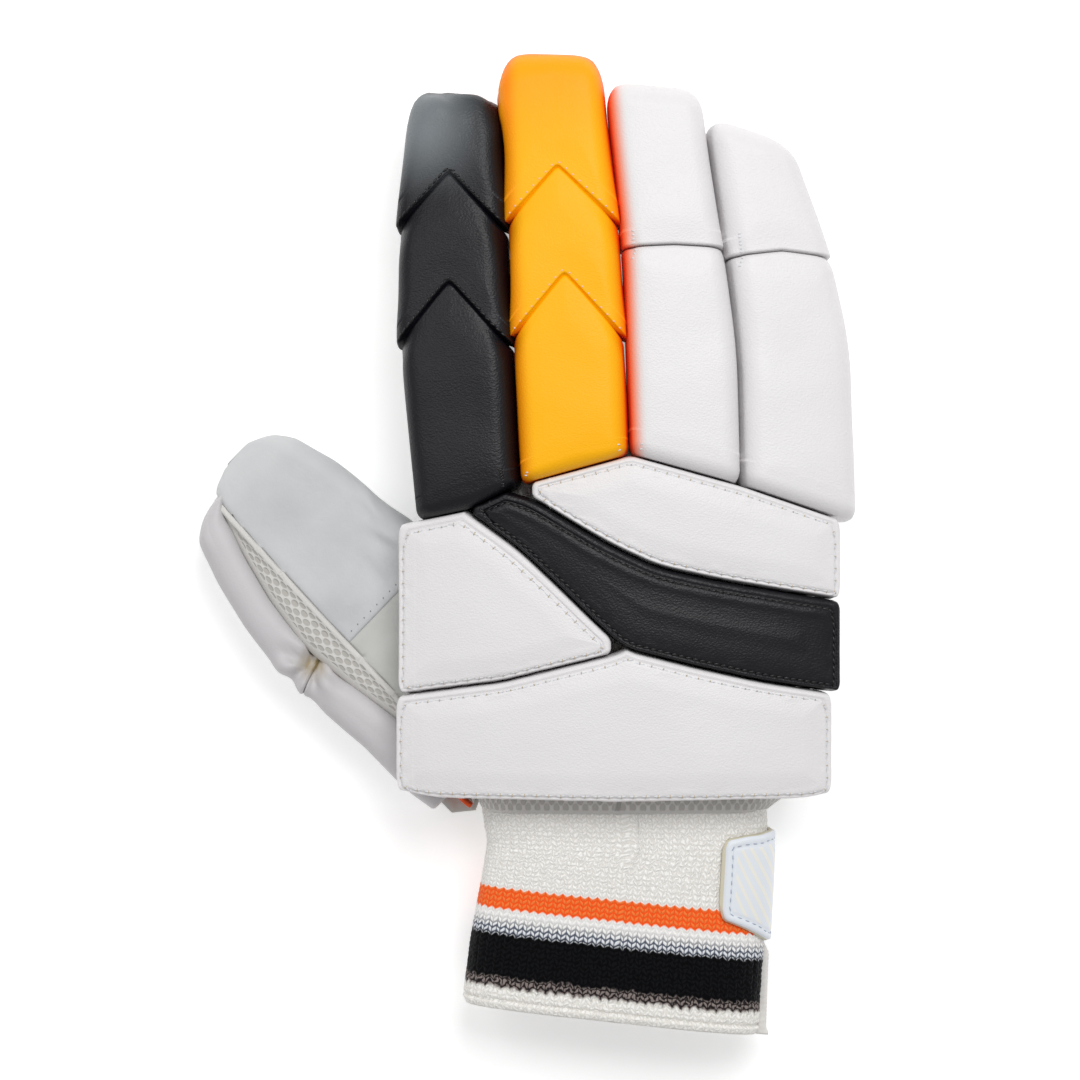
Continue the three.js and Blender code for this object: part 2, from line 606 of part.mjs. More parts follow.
// One piece of the guard, its ends rounded.
function guardPiece(from, to) {
  const inner = GUARD_ROWS.map((row) => alongThumbAxis(row.s))
    .filter((s) => s > from + GUARD_END && s < to - GUARD_END);
  return loft([
    guardRing(from, GUARD_END),
    ...[from + GUARD_END, ...inner, to - GUARD_END].map((s) => guardRing(s, 0)),
    guardRing(to, GUARD_END),
  ]);
}
const [guardEnd, guardTip] = [GUARD_ROWS[0], GUARD_ROWS.at(-1)].map((row) => alongThumbAxis(row.s));
const guardSplit = alongThumbAxis(GUARD_SPLIT_SHARE);
add("thumb_guard_tip", guardPiece(guardSplit + GUARD_SPACE / 2, guardTip), WHITE);
add("thumb_guard_base", guardPiece(guardEnd, guardSplit - GUARD_SPACE / 2), WHITE);

// Orange piping on the heel of the thumb, between the guard's end and the wrist.
const pipingPlace = thumbPlace(
  guardEnd - SEAM - PIPING_LENGTH / 2,
  thumbOuter(guardEnd) + SEAT + GUARD_THICKNESS / 4,
  GUARD_FLOOR + GUARD_HEIGHT / 2);
// On a longer palm it moves out along the guard's end, and so stays clear of the hand.
const pipingReach = -acrossThumb.x * (PIPING_WIDTH / 2) - alongThumb.x * (PIPING_LENGTH / 2) + SEAM;
const pipingLimit = across(HAND_ROWS[0].left) - pipingReach;
pipingPlace.addScaledVector(acrossThumb, Math.max(0, pipingPlace.x - pipingLimit) / -acrossThumb.x);
add("wrist_piping", new THREE.BoxGeometry(PIPING_WIDTH, PIPING_LENGTH, PIPING_HEIGHT)
  .rotateZ(THUMB_ANGLE * DEGREES).translate(...pipingPlace.toArray()), ORANGE);

// The knitted cuff, from the wrist seam (0) to its mouth (1). mouth blends the width of the
// wrist into that of the mouth, and the waist draws the thumb's side in.
const CUFF_ROWS = [
  { at: 0, mouth: 0, waist: 0, lift: 0.3, deep: 0.98, slant: 0 },
  { at: 0.1, mouth: 0.05, waist: 0.5, lift: 1, deep: 0.93, slant: 0.1 },
  { at: 0.2, mouth: 0.1, waist: 1, lift: 1, deep: 0.93, slant: 0.3 },
  { at: 0.45, mouth: 0.42, waist: 0.9, lift: 1, deep: 0.93, slant: 0.96 },
  { at: 0.7, mouth: 0.75, waist: 0.4, lift: 1, deep: 0.96, slant: 0.98 },
  { at: 1, mouth: 1, waist: 0, lift: 1, deep: 1, slant: 1 },
];
const MOUTH_LEFT_SHARE = 0.523; // share of the mouth's width on the thumb's side
const CUFF_SQUARE_SHARE = 0.62; // 1 is an ellipse, and less is squarer
const WRIST = HAND_ROWS[0];
const cuffTop = alongPalm(0) - SEAM;

// A point of the cuff: turn runs from the little finger's side (0) over the back, in quarters of
// the way round, and out is the distance outside the knitted band.
function cuffPoint(at, turn, out) {
  const column = (name) => read(CUFF_ROWS, "at", at, (row) => row[name]);
  const blend = column("mouth");
  const left = THREE.MathUtils.lerp(across(WRIST.left), -MOUTH_LEFT_SHARE * CUFF_WIDTH, blend)
    + column("waist") * WAIST - out;
  const right = THREE.MathUtils.lerp(across(WRIST.right), (1 - MOUTH_LEFT_SHARE) * CUFF_WIDTH, blend) + out;
  const low = column("lift") * CUFF_LIFT - out;
  const high = column("lift") * CUFF_LIFT + column("deep") * CUFF_DEPTH + out;
  const angle = turn * (Math.PI / 2);
  const bulge = (value) => Math.sign(value) * Math.abs(value) ** CUFF_SQUARE_SHARE;
  const x = (left + right) / 2 + ((right - left) / 2) * bulge(Math.cos(angle));
  const z = (low + high) / 2 + ((high - low) / 2) * bulge(Math.sin(angle));
  const slant = column("slant") * CUFF_SLANT_SHARE;
  return new THREE.Vector3(x, cuffTop - at * CUFF_LENGTH - slant * (x - (left + right) / 2), z);
}

const CUFF_SIDES = 32;
const cuffRing = (at, out) =>
  Array.from({ length: CUFF_SIDES }, (_, i) => cuffPoint(at, (4 * i) / CUFF_SIDES, out));
const cuffStations = [0, 0.1, 0.2, 0.45, 0.7, 0.85, 1];
const cuffOutside = solidOf(loft(cuffStations.map((at) => cuffRing(at, 0))));
const cuffInside = solidOf(loft(
  [-0.03, ...cuffStations.slice(1, -1), 1.03].map((at) => cuffRing(at, -KNIT))));

// The slit in the cuff on the little finger's side, from its mouth almost to the wrist.
const SPLIT_END_SHARE = 0.2;
const splitHeight = cuffPoint(0.6, 0, 0).z;
const slit = solidOf(region({
  x: [0, farOut],
  y: [-farOut, cuffPoint(SPLIT_END_SHARE, 0, 0).y],
  z: [splitHeight - SPLIT_GAP / 2, splitHeight + SPLIT_GAP / 2],
}));
add("knit_cuff", cuffOutside.subtract(cuffInside).subtract(slit), KNITTED);

// The tab that closes the slit, from the back of the cuff round the side to the palm. from and to
// say where it begins and ends along the cuff, as shares of the tab's length from its upper edge.
const TAB_START_SHARE = 0.11; // share of the cuff's length
const TAB_ROWS = [
  { turn: 0.665, from: 0.2, to: 0.66 },
  { turn: 0.65, from: 0.1, to: 0.78 },
  { turn: 0.625, from: 0.07, to: 0.82 },
  { turn: 0.5, from: 0.04, to: 0.87 },
  { turn: 0.375, from: 0.03, to: 0.92 },
  { turn: 0.25, from: 0.01, to: 0.97 },
  { turn: 0.125, from: 0, to: 1 },
  { turn: 0, from: 0, to: 1 },
  { turn: -0.125, from: 0, to: 1 },
  { turn: -0.25, from: 0, to: 1 },
  { turn: -0.375, from: 0, to: 1 },
  { turn: -0.5, from: 0, to: 1 },
  { turn: -0.625, from: 0, to: 1 },
  { turn: -0.75, from: 0, to: 1 },
  { turn: -0.82, from: 0.03, to: 0.97 },
];
const tabAt = (share) => TAB_START_SHARE + (share * TAB_LENGTH) / CUFF_LENGTH;
add("closure_tab", loft(TAB_ROWS.map(({ turn, from, to }) => {
  const [a, b] = [tabAt(from), tabAt(to)];
  const small = TAB_CHAMFER / CUFF_LENGTH;
  const top = SEAT + TAB_THICKNESS;
  const middle = (a + b) / 2;
  return [[a, SEAT], [middle, SEAT], [b, SEAT], [b, top - TAB_CHAMFER], [b - small, top],
    [middle, top], [a + small, top], [a, top - TAB_CHAMFER]]
    .map(([at, out]) => cuffPoint(at, turn, out));
})), TAB_WHITE);

// The binding of the slit stands out below the tab. proud is a share of BINDING_PROUD.
const BINDING_ROWS = [
  { at: SPLIT_END_SHARE + SEAM / CUFF_LENGTH, proud: -0.3 },
  { at: tabAt(1), proud: -0.3 },
  { at: tabAt(1.04), proud: 0.15 },
  { at: tabAt(1.13), proud: 1 },
  { at: 0.85, proud: 1 },
  { at: 1.01, proud: 1 },
];
add("split_binding", loft(BINDING_ROWS.map(({ at, proud }) => {
  const halfWidth = SPLIT_GAP / 2 - SEAM;
  const out = proud * BINDING_PROUD;
  const point = (outwards, z) => cuffPoint(at, 0, outwards).setZ(splitHeight + z);
  return [
    point(-KNIT, -halfWidth),
    point(out - halfWidth / 2, -halfWidth),
    point(out, -halfWidth / 2),
    point(out, halfWidth / 2),
    point(out - halfWidth / 2, halfWidth),
    point(-KNIT, halfWidth),
  ];
})), TAB_WHITE);

export default glove;
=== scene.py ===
# %% [markdown]
# # A cricket batting glove
# The glove lies on its palm and is seen from straight above. The solids come in as a fixed frame,
# and this lesson dresses them: every pad, shell, knitted band and seam is a piece of its own, in
# the same place as the solid that it stands for.

# %% Load the frame
import math

import bmesh
import bpy
import numpy as np
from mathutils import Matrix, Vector, noise
from mathutils.bvhtree import BVHTree
from mathutils.kdtree import KDTree


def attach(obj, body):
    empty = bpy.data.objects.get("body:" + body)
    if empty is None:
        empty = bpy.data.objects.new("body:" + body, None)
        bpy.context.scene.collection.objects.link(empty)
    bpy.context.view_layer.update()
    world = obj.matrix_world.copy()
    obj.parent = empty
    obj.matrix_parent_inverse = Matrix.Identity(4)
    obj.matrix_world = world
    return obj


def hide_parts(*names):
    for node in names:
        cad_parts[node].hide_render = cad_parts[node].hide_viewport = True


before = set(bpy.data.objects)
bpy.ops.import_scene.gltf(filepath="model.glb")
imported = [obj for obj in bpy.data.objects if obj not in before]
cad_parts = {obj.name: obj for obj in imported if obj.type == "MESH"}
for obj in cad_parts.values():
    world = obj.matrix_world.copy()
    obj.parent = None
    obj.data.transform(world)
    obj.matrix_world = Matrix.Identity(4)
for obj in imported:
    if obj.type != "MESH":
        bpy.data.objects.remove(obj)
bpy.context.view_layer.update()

scene = bpy.context.scene
MM = 0.001
print("solids in the frame:", len(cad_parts))

# %% [markdown]
# ## The camera
# A product picture of a flat glove is taken from above with a long lens. A lens of 110 mm on a
# 36 mm sensor, one metre up, keeps the sides of the pads almost hidden, as they are there.

# %% Camera straight above the glove
CAMERA_HEIGHT = 1.0
camera_data = bpy.data.cameras.new("studio_camera")
camera_data.sensor_width = 36
camera_data.lens = 109.8
camera = bpy.data.objects.new("studio_camera", camera_data)
camera.location = (-0.0232, 0.029, CAMERA_HEIGHT)
scene.collection.objects.link(camera)
scene.camera = camera
print("camera at", tuple(round(v, 4) for v in camera.location))

# %% [markdown]
# ## Floor and light
# The glove lies on a white table that is lit from below, as in many product pictures. That keeps
# the ground white and the shadows open. A large soft lamp beyond the fingertips gives the
# highlights on the leather, a weaker one fills from the thumb's side, and the room is white.

# %% Colours and nodes
def linear(code):
    """An sRGB hex colour, turned to the linear values that Blender works with."""
    parts = [int(code[i:i + 2], 16) / 255 for i in (1, 3, 5)]
    return (*[p / 12.92 if p <= 0.04045 else ((p + 0.055) / 1.055) ** 2.4 for p in parts], 1)


def node(tree, kind, inputs=(), **settings):
    """Adds a node with its settings. A value of inputs is a number, a colour, an output of
    another node, or a node, which stands for its first output."""
    made = tree.nodes.new(kind)
    for name, value in settings.items():
        setattr(made, name, value)
    for name, value in dict(inputs).items():
        if isinstance(value, bpy.types.Node):
            value = value.outputs[0]
        if isinstance(value, bpy.types.NodeSocket):
            tree.links.new(value, made.inputs[name])
        else:
            made.inputs[name].default_value = value
    return made


def cells_of(size):
    """The scale that gives a pattern cells of this size, in mm."""
    return 1 / (size * MM)


def new_material(name):
    """An empty material and its tree. Its output node comes last, with the surface."""
    material = bpy.data.materials.new(name)
    material.use_nodes = True
    tree = material.node_tree
    tree.nodes.clear()
    return material, tree


print("middle grey is", round(linear("#808080")[0], 3), "in linear light")


# %% Floor
floor_material, tree = new_material("opal_acrylic_lit")
coordinates = node(tree, "ShaderNodeTexCoord")
haze = node(tree, "ShaderNodeTexNoise", {"Vector": coordinates.outputs["Object"], "Scale": 40})
opal_bump = node(tree, "ShaderNodeBump", {"Height": haze, "Strength": 0.02})
opal = node(tree, "ShaderNodeBsdfPrincipled", {
    "Base Color": linear("#fbfbfb"), "Roughness": 0.85, "Normal": opal_bump,
    "Emission Color": linear("#ffffff"), "Emission Strength": 0.32})
node(tree, "ShaderNodeOutputMaterial", {"Surface": opal})

FLOOR_HALF, FLOOR_LEVEL = 3.0, -0.0003
floor_mesh = bpy.data.meshes.new("floor")
floor_mesh.from_pydata([(x * FLOOR_HALF, y * FLOOR_HALF, FLOOR_LEVEL)
                        for x, y in ((-1, -1), (1, -1), (1, 1), (-1, 1))], [], [(0, 1, 2, 3)])
floor = bpy.data.objects.new("floor", floor_mesh)
floor.data.materials.append(floor_material)
scene.collection.objects.link(floor)
print("floor:", 2 * FLOOR_HALF, "m wide")

# %% Lamps and world
def lamp(name, place, size, power, colour="#ffffff"):
    """A square soft lamp that faces the middle of the glove."""
    data = bpy.data.lights.new(name, "AREA")
    data.size, data.energy, data.color = size, power, linear(colour)[:3]
    made = bpy.data.objects.new(name, data)
    made.location = place
    made.rotation_euler = (-Vector(place)).to_track_quat("-Z", "Y").to_euler()
    scene.collection.objects.link(made)


lamp("key_lamp", (0.2, 0.55, 1.0), 0.6, 6.7)
lamp("fill_lamp", (-0.6, 0.4, 0.85), 0.5, 1.5)
world = bpy.data.worlds.new("white_room")
world.use_nodes = True
world.node_tree.nodes["Background"].inputs["Color"].default_value = linear("#ffffff")
world.node_tree.nodes["Background"].inputs["Strength"].default_value = 0.48
scene.world = world
scene.view_settings.view_transform = "Standard"

# %% [markdown]
# ## Sizes of the glove
# The places of seams, fingers and thumb are the same shares of the hand's width and length as in
# the solids. Everything is worked out in millimetres and turned to metres when a mesh is made.

# %% Sizes and short tables
HALF_HAND = 61.5
PALM_LENGTH, PALM_CENTRE, FINGER_LENGTH = 102.5, 0.478, 118
HAND_DEPTH, TIP_DEPTH, ARCH_DROP, BEND_START = 31, 19, 7.2, 0.7
SEAT = 0.4  # between padding and what it is sewn on
SIDE_GAP, JOINT_GAP, PAD_GAP = 0.12, 0.25, 0.14  # free on each side of a seam


def along_palm(share):
    return (np.asarray(share) - PALM_CENTRE) * PALM_LENGTH


def along_finger(share):
    return along_palm(1) + np.asarray(share) * FINGER_LENGTH


def line(rows, blur=0.0):
    """A table as a function. blur rounds its corners, as cloth and foam do."""
    xs, ys = (np.array(column, float) for column in zip(*rows))
    low = ys[0] - (ys[1] - ys[0]) / (xs[1] - xs[0])
    high = ys[-1] + (ys[-1] - ys[-2]) / (xs[-1] - xs[-2])
    xs = np.concatenate([[xs[0] - 1], xs, [xs[-1] + 1]])
    ys = np.concatenate([[low], ys, [high]])
    steps = np.linspace(-blur, blur, 9)
    return lambda at: np.mean([np.interp(np.asarray(at, float) + s, xs, ys) for s in steps],
                              axis=0)


def seam(rows, blur):
    """A seam across the back: its y, in millimetres, for an x in millimetres."""
    share = line(rows, blur)
    return lambda x: along_palm(share(np.asarray(x) / HALF_HAND))


knuckle_line = seam([(-1.06, .8), (-.7, .845), (-.46, .915), (.05, 1), (.55, .915),
                     (1.08, .805)], .025)
knuckle_seam = seam([(-.62, .915), (-.4, .88), (-.22, .81), (-.04, .745), (.17, .685),
                     (.44, .648), (.72, .618), (1.02, .588)], .07)
sweep_seam = seam([(-.69, .84), (-.45, .732), (-.27, .625), (-.1, .52), (.02, .452), (.35, .4),
                   (.64, .36), (1.02, .322)], .06)
corner_seam = seam([(-1.02, .318), (-.53, .36), (-.03, .437), (.02, .452)], .04)
wrist_edge = seam([(-1.02, .045), (-.85, .024), (0, .015), (.85, .022), (1.02, .045)], .05)

FINGER_SIDES = [(-.07, [-.945, -.455, .049, .555, 1.08]), (.27, [-1.01, -.491, .026, .54, 1.06]),
                (.51, [-1.02, -.513, .01, .48, .965]), (.81, [-.985, -.535, -.049, .398, .765]),
                (1.0, [-.945, -.545, -.075, .36, .63])]
side_lines = [line([(y, sides[k]) for y, sides in FINGER_SIDES], .08) for k in range(5)]


def finger_side(k, y):
    return HALF_HAND * side_lines[k]((np.asarray(y) - along_palm(1)) / FINGER_LENGTH)


def back_height(x, y):
    """Height of the back of the hand: arched across, and falling towards the fingertips."""
    start = along_palm(BEND_START)
    share = np.maximum(0, np.asarray(y) - start) / (along_finger(1) - start)
    arch = ARCH_DROP * (np.asarray(x) / HALF_HAND) ** 2
    return HAND_DEPTH - (HAND_DEPTH - TIP_DEPTH) * share ** 2 - arch


def back_normal(x, y):
    fall_x = back_height(x - 1, y) - back_height(x + 1, y)
    fall_y = back_height(x, y - 1) - back_height(x, y + 1)
    normal = np.stack([fall_x / 2, fall_y / 2, np.ones_like(fall_x)], -1)
    return normal / np.linalg.norm(normal, axis=-1, keepdims=True)


print("the back stands", round(float(back_height(0, 0)), 1), "mm over the floor")

# %% [markdown]
# ## From points to pieces
# Each piece is a grid of points: rings along it, and points round each ring. Two helpers are
# enough for all of them, one that makes a mesh of such rings and one that finishes a piece, which
# gives it its material, lets it ride on the glove and hides the solid that it stands for.

# %% Rings into a mesh
def ring_mesh(name, rings, closed=True, caps=True):
    """A mesh through rings of points in mm, each as long as the next. caps closes both ends."""
    rings = [np.asarray(r, float) for r in rings]
    if caps:
        def inward(ring):
            return [ring + (ring.mean(0) - ring) * t for t in (0.35, 0.7, 0.92)]
        rings = inward(rings[0])[::-1] + rings + inward(rings[-1])
    count, size = len(rings), len(rings[0])
    points = np.concatenate(rings)
    width = size if closed else size - 1
    corners = [(i, (i + 1) % size, size + (i + 1) % size, size + i) for i in range(width)]
    faces = [tuple(r * size + c for c in four) for r in range(count - 1) for four in corners]
    if caps:
        faces += [tuple(range(size))[::-1], tuple((count - 1) * size + i for i in range(size))]
    mesh = bpy.data.meshes.new(name)
    mesh.from_pydata((points * MM).tolist(), [], faces)
    outwards(mesh)
    return mesh


def outwards(mesh):
    """Turns all faces of a closed mesh outwards."""
    bm = bmesh.new()
    bm.from_mesh(mesh)
    bmesh.ops.recalc_face_normals(bm, faces=bm.faces)
    if bm.calc_volume(signed=True) < 0:
        bmesh.ops.reverse_faces(bm, faces=bm.faces)
    bm.to_mesh(mesh)
    bm.free()
    mesh.shade_smooth()


def points_of(mesh):
    """A mesh's points as an array, in mm."""
    co = np.empty(len(mesh.vertices) * 3)
    mesh.vertices.foreach_get("co", co)
    return co.reshape(-1, 3) / MM


def normals_of(mesh):
    n = np.empty(len(mesh.vertices) * 3)
    mesh.vertices.foreach_get("normal", n)
    return n.reshape(-1, 3)


def set_points(mesh, points):
    mesh.vertices.foreach_set("co", (points * MM).ravel())
    mesh.update()


def keep_value(mesh, name, values):
    """Stores a number for each point, which a material reads by name."""
    found = mesh.attributes.get(name) or mesh.attributes.new(name, "FLOAT", "POINT")
    found.data.foreach_set("value", np.asarray(values, np.float32))


made_pieces = []


def piece(mesh, material, slot, nodes=()):
    """A finished piece: its object sits at the origin, as a solid's does."""
    made = bpy.data.objects.new(mesh.name, mesh)
    mesh.materials.clear()
    mesh.materials.append(material)
    scene.collection.objects.link(made)
    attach(made, "root")
    if nodes:
        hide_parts(*nodes)
    made_pieces.append(made)
    return made


def lumps(points, size, seed):
    """Smooth random values from -1 to 1 for points in mm; size is how far apart lumps are."""
    shift = Vector((seed * 17.3, seed * 5.7, seed * 11.1))
    return np.array([noise.noise(Vector(p) / size + shift) for p in points])


def distance_to(others, points):
    """The distance from each point to the nearest of the others, both in mm."""
    tree = KDTree(len(others))
    for i, p in enumerate(others):
        tree.insert(p, i)
    tree.balance()
    return np.array([tree.find(p)[2] for p in points])


def in_plan(points):
    """Points as they are seen from above."""
    return np.column_stack([points[:, 0], points[:, 1], np.zeros(len(points))])


def surface_of(mesh):
    """A mesh's faces, ready to be asked for the nearest point or for what a ray hits."""
    bm = bmesh.new()
    bm.from_mesh(mesh)
    surface = BVHTree.FromBMesh(bm)
    bm.free()
    return surface


def modified(made):
    """The plain mesh that an object's modifiers give. The object itself goes."""
    result = bpy.data.meshes.new_from_object(
        made.evaluated_get(bpy.context.evaluated_depsgraph_get()))
    bpy.data.objects.remove(made)
    return result


def bell(distance, width):
    """1 at distance 0, and almost nothing at twice the width."""
    return np.exp(-(np.asarray(distance) / width) ** 2)


def ease(value):
    """From 0 to 1, slow at both ends."""
    value = np.clip(value, 0, 1)
    return value * value * (3 - 2 * value)


print("halfway up an eased step:", float(ease(0.5)))


# %% [markdown]
# ## Coated leather
# Rolls and pads are covered with polyurethane-coated split leather. The coating is moulded with a
# fine grain, so it has a soft broad highlight. The real grain is about 0.4 mm; here it is 0.5 mm,
# because a finer one would not show in the picture. Where a panel carries a print, or light and
# shade painted into its colour, that colour fades into another, and the piece says where with a
# value named fade.

# %% Coated leather
def coated_leather(name, colour, roughness, second_tone=None, shade=0.06, relief=0.55,
                   warmth="#fff4ea", shine=0.5):
    """printed is the colour where fade is 1, shade how much darker the clouds are."""
    material, tree = new_material(name)
    place = node(tree, "ShaderNodeTexCoord").outputs["Object"]
    stretched = node(tree, "ShaderNodeMapping", {"Vector": place, "Scale": (0.75, 1.0, 0.85)})
    cells = node(tree, "ShaderNodeTexVoronoi", {"Vector": stretched,
                                                "Scale": cells_of(0.52)})
    pores = node(tree, "ShaderNodeTexNoise", {"Vector": place, "Scale": cells_of(0.5), "Detail": 1})
    grain = node(tree, "ShaderNodeMath", {0: cells, 1: pores},
                 operation="ADD")
    dents = node(tree, "ShaderNodeTexNoise", {"Vector": place, "Scale": cells_of(14), "Detail": 2})
    soft = node(tree, "ShaderNodeBump", {"Height": dents, "Strength": 0.25,
                                         "Distance": 1.2 * MM})
    bump = node(tree, "ShaderNodeBump", {"Height": grain, "Strength": relief,
                                         "Distance": 0.12 * MM, "Normal": soft})
    clouds = node(tree, "ShaderNodeTexNoise", {"Vector": place, "Scale": cells_of(32), "Detail": 2})
    share = node(tree, "ShaderNodeMapRange", {"Value": clouds, "From Min": 0.3,
                                              "From Max": 0.7, "To Max": shade})
    base = linear(colour)
    darker = tuple(c * w * 0.72 for c, w in zip(base[:3], linear(warmth)[:3])) + (1,)
    tone = node(tree, "ShaderNodeMix", {"Factor": share, "A": base, "B": darker},
                data_type="RGBA").outputs["Result"]
    if second_tone:
        fade = node(tree, "ShaderNodeAttribute", attribute_name="fade").outputs["Fac"]
        tone = node(tree, "ShaderNodeMix", {"Factor": fade, "A": tone, "B": linear(second_tone)},
                    data_type="RGBA").outputs["Result"]
    rough = node(tree, "ShaderNodeMapRange", {
        "Value": pores, "To Min": roughness - 0.06, "To Max": roughness + 0.1})
    skin = node(tree, "ShaderNodeBsdfPrincipled", {
        "Base Color": tone, "Roughness": rough, "IOR": 1.5,
        "Specular IOR Level": shine, "Normal": bump})
    node(tree, "ShaderNodeOutputMaterial", {"Surface": skin})
    return material


white_leather = coated_leather("coated_leather_white", "#e5e3e4", 0.44)
BLACK = dict(colour="#0a0a12", roughness=0.4, relief=0.6, shade=0.5, shine=0.35)
black_leather = coated_leather("coated_leather_black", **BLACK)
# The grey second tone of the index roll is a painted sheen on its tip, not a colour of the coating.
black_leather_painted_sheen = coated_leather("coated_leather_black_painted_sheen", second_tone="#8b9296", **BLACK)
amber_leather = coated_leather("coated_leather_amber", "#ffb700", 0.46, second_tone="#ff6208",
                               relief=0.4, warmth="#ffe2b0", shine=0.25)
ring_leather = coated_leather("coated_leather_white_printed", "#e5e3e4", 0.44, second_tone="#ff6a14")
print("coated leathers:", len([m for m in bpy.data.materials if m.name.startswith("coated")]))

# %% [markdown]
# ## A padded block
# Inside each roll and pad is a strip of dense foam. The cover is pulled round it, so the block is
# flat on top, round along its edges and a little full. A cloth simulation would blow it up like a
# pillow, which foam of this kind never does, so the block is drawn: rings from one end to the
# other, each a section with leaning sides, and then small moves for crown, seams and creases.

# %% Padded block
FOOT = 1.2  # radius of the turned-in lower edge
CLOSE_RUN, CLOSE_STEP = 3.6, 0.3  # near its ends a block has closer rings, for the lips there


def width_at(place, along):
    return float(np.linalg.norm(np.array(place(along, 1.0)) - np.array(place(along, -1.0))))


def padded_block(name, place, height, edge, slope, ends, corner, step=1.0, crown=0.5, bulge=0.35,
                 detail=None):
    """place(along, v) gives x and y in mm for along 0..1 and v -1..1. ends and corner round the
    two ends, in height and in plan. detail moves the points."""
    first, last = (np.array(place(end, 0.0)) for end in (0.0, 1.0))
    length = float(np.linalg.norm(last - first))
    arc = np.linspace(math.pi / 2, 0, 9)
    stations = [(ends[0] * (1 - math.sin(a)) / length, ends[0] * (1 - math.cos(a)),
                 corner[0] * (1 - math.cos(a))) for a in arc]
    near, far = ends[0] + CLOSE_RUN, length - ends[1] - CLOSE_RUN
    middle = np.concatenate([np.arange(ends[0] + CLOSE_STEP, near, CLOSE_STEP),
                             np.arange(near, far, step),
                             np.arange(far, length - ends[1] - 0.15, CLOSE_STEP)])
    stations += [(along, 0.0, 0.0) for along in middle / length]
    stations += [(1 - ends[1] * (1 - math.sin(a)) / length, ends[1] * (1 - math.cos(a)),
                  corner[1] * (1 - math.cos(a))) for a in arc[::-1]]
    top_count = max(8, int(max(width_at(place, a) for a in np.linspace(0, 1, 9)) / 2 / step))
    turn = np.linspace(0, math.pi / 2, 5)
    wall = np.linspace(0, 1, 9)[1:-1]
    over = np.linspace(math.pi / 2, 0, 9)
    points, where = [], []
    for along, fall, narrow in stations:
        half = width_at(place, along) / 2
        room = half - narrow
        fit = min(1.0, room / (slope + edge + FOOT))
        top = height - fall
        tall = max(top - edge, FOOT + 0.3)
        inward = fit * np.concatenate([
            FOOT * (1 - np.sin(turn)), slope * wall - bulge * np.sin(math.pi * wall),
            slope + edge * (1 - np.sin(over))])
        up = np.concatenate([
            FOOT * (1 - np.cos(turn)), FOOT + (tall - FOOT) * wall,
            tall + (top - tall) * np.cos(over)])
        flat = np.linspace(inward[-1], room, top_count + 1)[1:]
        inward = np.concatenate([inward, flat])
        up = np.concatenate([up, np.full(len(flat), top)])
        v = 1 - (narrow + inward) / half
        v = np.concatenate([v, -v[:-1][::-1], v[0] * np.array([-0.45, 0.0, 0.45])])
        h = np.concatenate([up, up[:-1][::-1], [0, 0, 0]])
        x, y = place(np.full_like(v, along), v)
        points.append(np.stack([x, y, h], -1))
        where.append(np.stack([np.full_like(v, along), v], -1))
    points, where = np.array(points), np.array(where)
    side = len(turn) + 3
    far = len(points[0]) - 4 - side
    outline = np.concatenate([points[:, side, :2], points[-1, side:far, :2],
                              points[::-1, far, :2], points[0, far:side:-1, :2]])
    dense = resampled(outline, 0.3)
    depth = distance_to(in_plan(dense), in_plan(points.reshape(-1, 3))).reshape(points.shape[:2])
    topness = ease((points[..., 2] / height - 0.55) / 0.3)
    info = {"along": where[..., 0] * length, "left": length * (1 - where[..., 0]),
            "v": where[..., 1], "depth": depth, "top": topness, "length": length}
    points[..., 2] += crown * topness * ease(depth / 9)
    moves = np.zeros_like(points)
    if detail:
        detail(points, moves, info)
    x, y = points[..., 0], points[..., 1]
    base = np.stack([x, y, back_height(x, y)], -1)
    placed = base + back_normal(x, y) * (SEAT + points[..., 2])[..., None] + moves
    mesh = ring_mesh(name, list(placed))
    return mesh, dense, info


def resampled(points, step):
    """Points at equal distances along a line through the given ones."""
    points = np.asarray(points, float)
    lengths = np.concatenate([[0], np.cumsum(np.linalg.norm(np.diff(points, axis=0), axis=1))])
    at = np.linspace(0, lengths[-1], max(2, int(lengths[-1] / step) + 1))
    return np.stack([np.interp(at, lengths, points[:, k]) for k in range(points.shape[1])], -1)


# %% [markdown]
# ## Rolls of the fingers
# Each finger is guarded by a roll that is cut across where the finger bends. The black and the
# amber roll have three pieces with pointed joints, and the lower edge of each upper piece is a
# stitched lip over the piece below. The white rolls have two pieces with a plain crease between
# them. All are the same padded block between two lines across the finger, so a table of joints
# and one loop make them.

# %% Rolls
FINGERS = {
    "index": dict(side=0, tip=.895, slant=-.02, corner=.38, joints=[(.258, .422), (.545, .69)]),
    "middle": dict(side=1, tip=.992, slant=-.01, corner=.56, joints=[(.273, .439), (.555, .702)]),
    "ring": dict(side=2, tip=.912, slant=-.02, corner=.5, joints=[(.502, .508)]),
    "little": dict(side=3, tip=.805, slant=-.07, corner=.75, joints=[(.48, .495)]),
}
ROLL_HEIGHT, ROLL_EDGE, TIP_EDGE = 17, 5, 8
POINTED_RUN = 0.61  # how far it is square to a pointed joint for each mm along the finger
covers = {"index": black_leather_painted_sheen, "middle": amber_leather, "ring": ring_leather,
          "little": white_leather}
slots = {"index": "pu_black", "middle": "pu_amber", "ring": "pu_white", "little": "pu_white"}
seam_paths = {"amber": [], "black": [], "pads": [], "corners": [], "corners_black": []}
CORNER_THREADS = [  # roll, part, place across, first and last mm along it (below 0: from its end)
    ("index", "base", .74, 1.5, 8.5), ("middle", "base", .86, 1.4, 5.0),
    ("middle", "base", -.9, 1.2, 3.0), ("ring", "base", -.84, 1.4, 3.6),
    ("ring", "base", -.83, -3.4, -0.4), ("ring", "tip", -.8, 0.4, 3.8),
    ("little", "base", -.84, -3.0, -0.4), ("little", "tip", -.78, 0.4, 5.2)]


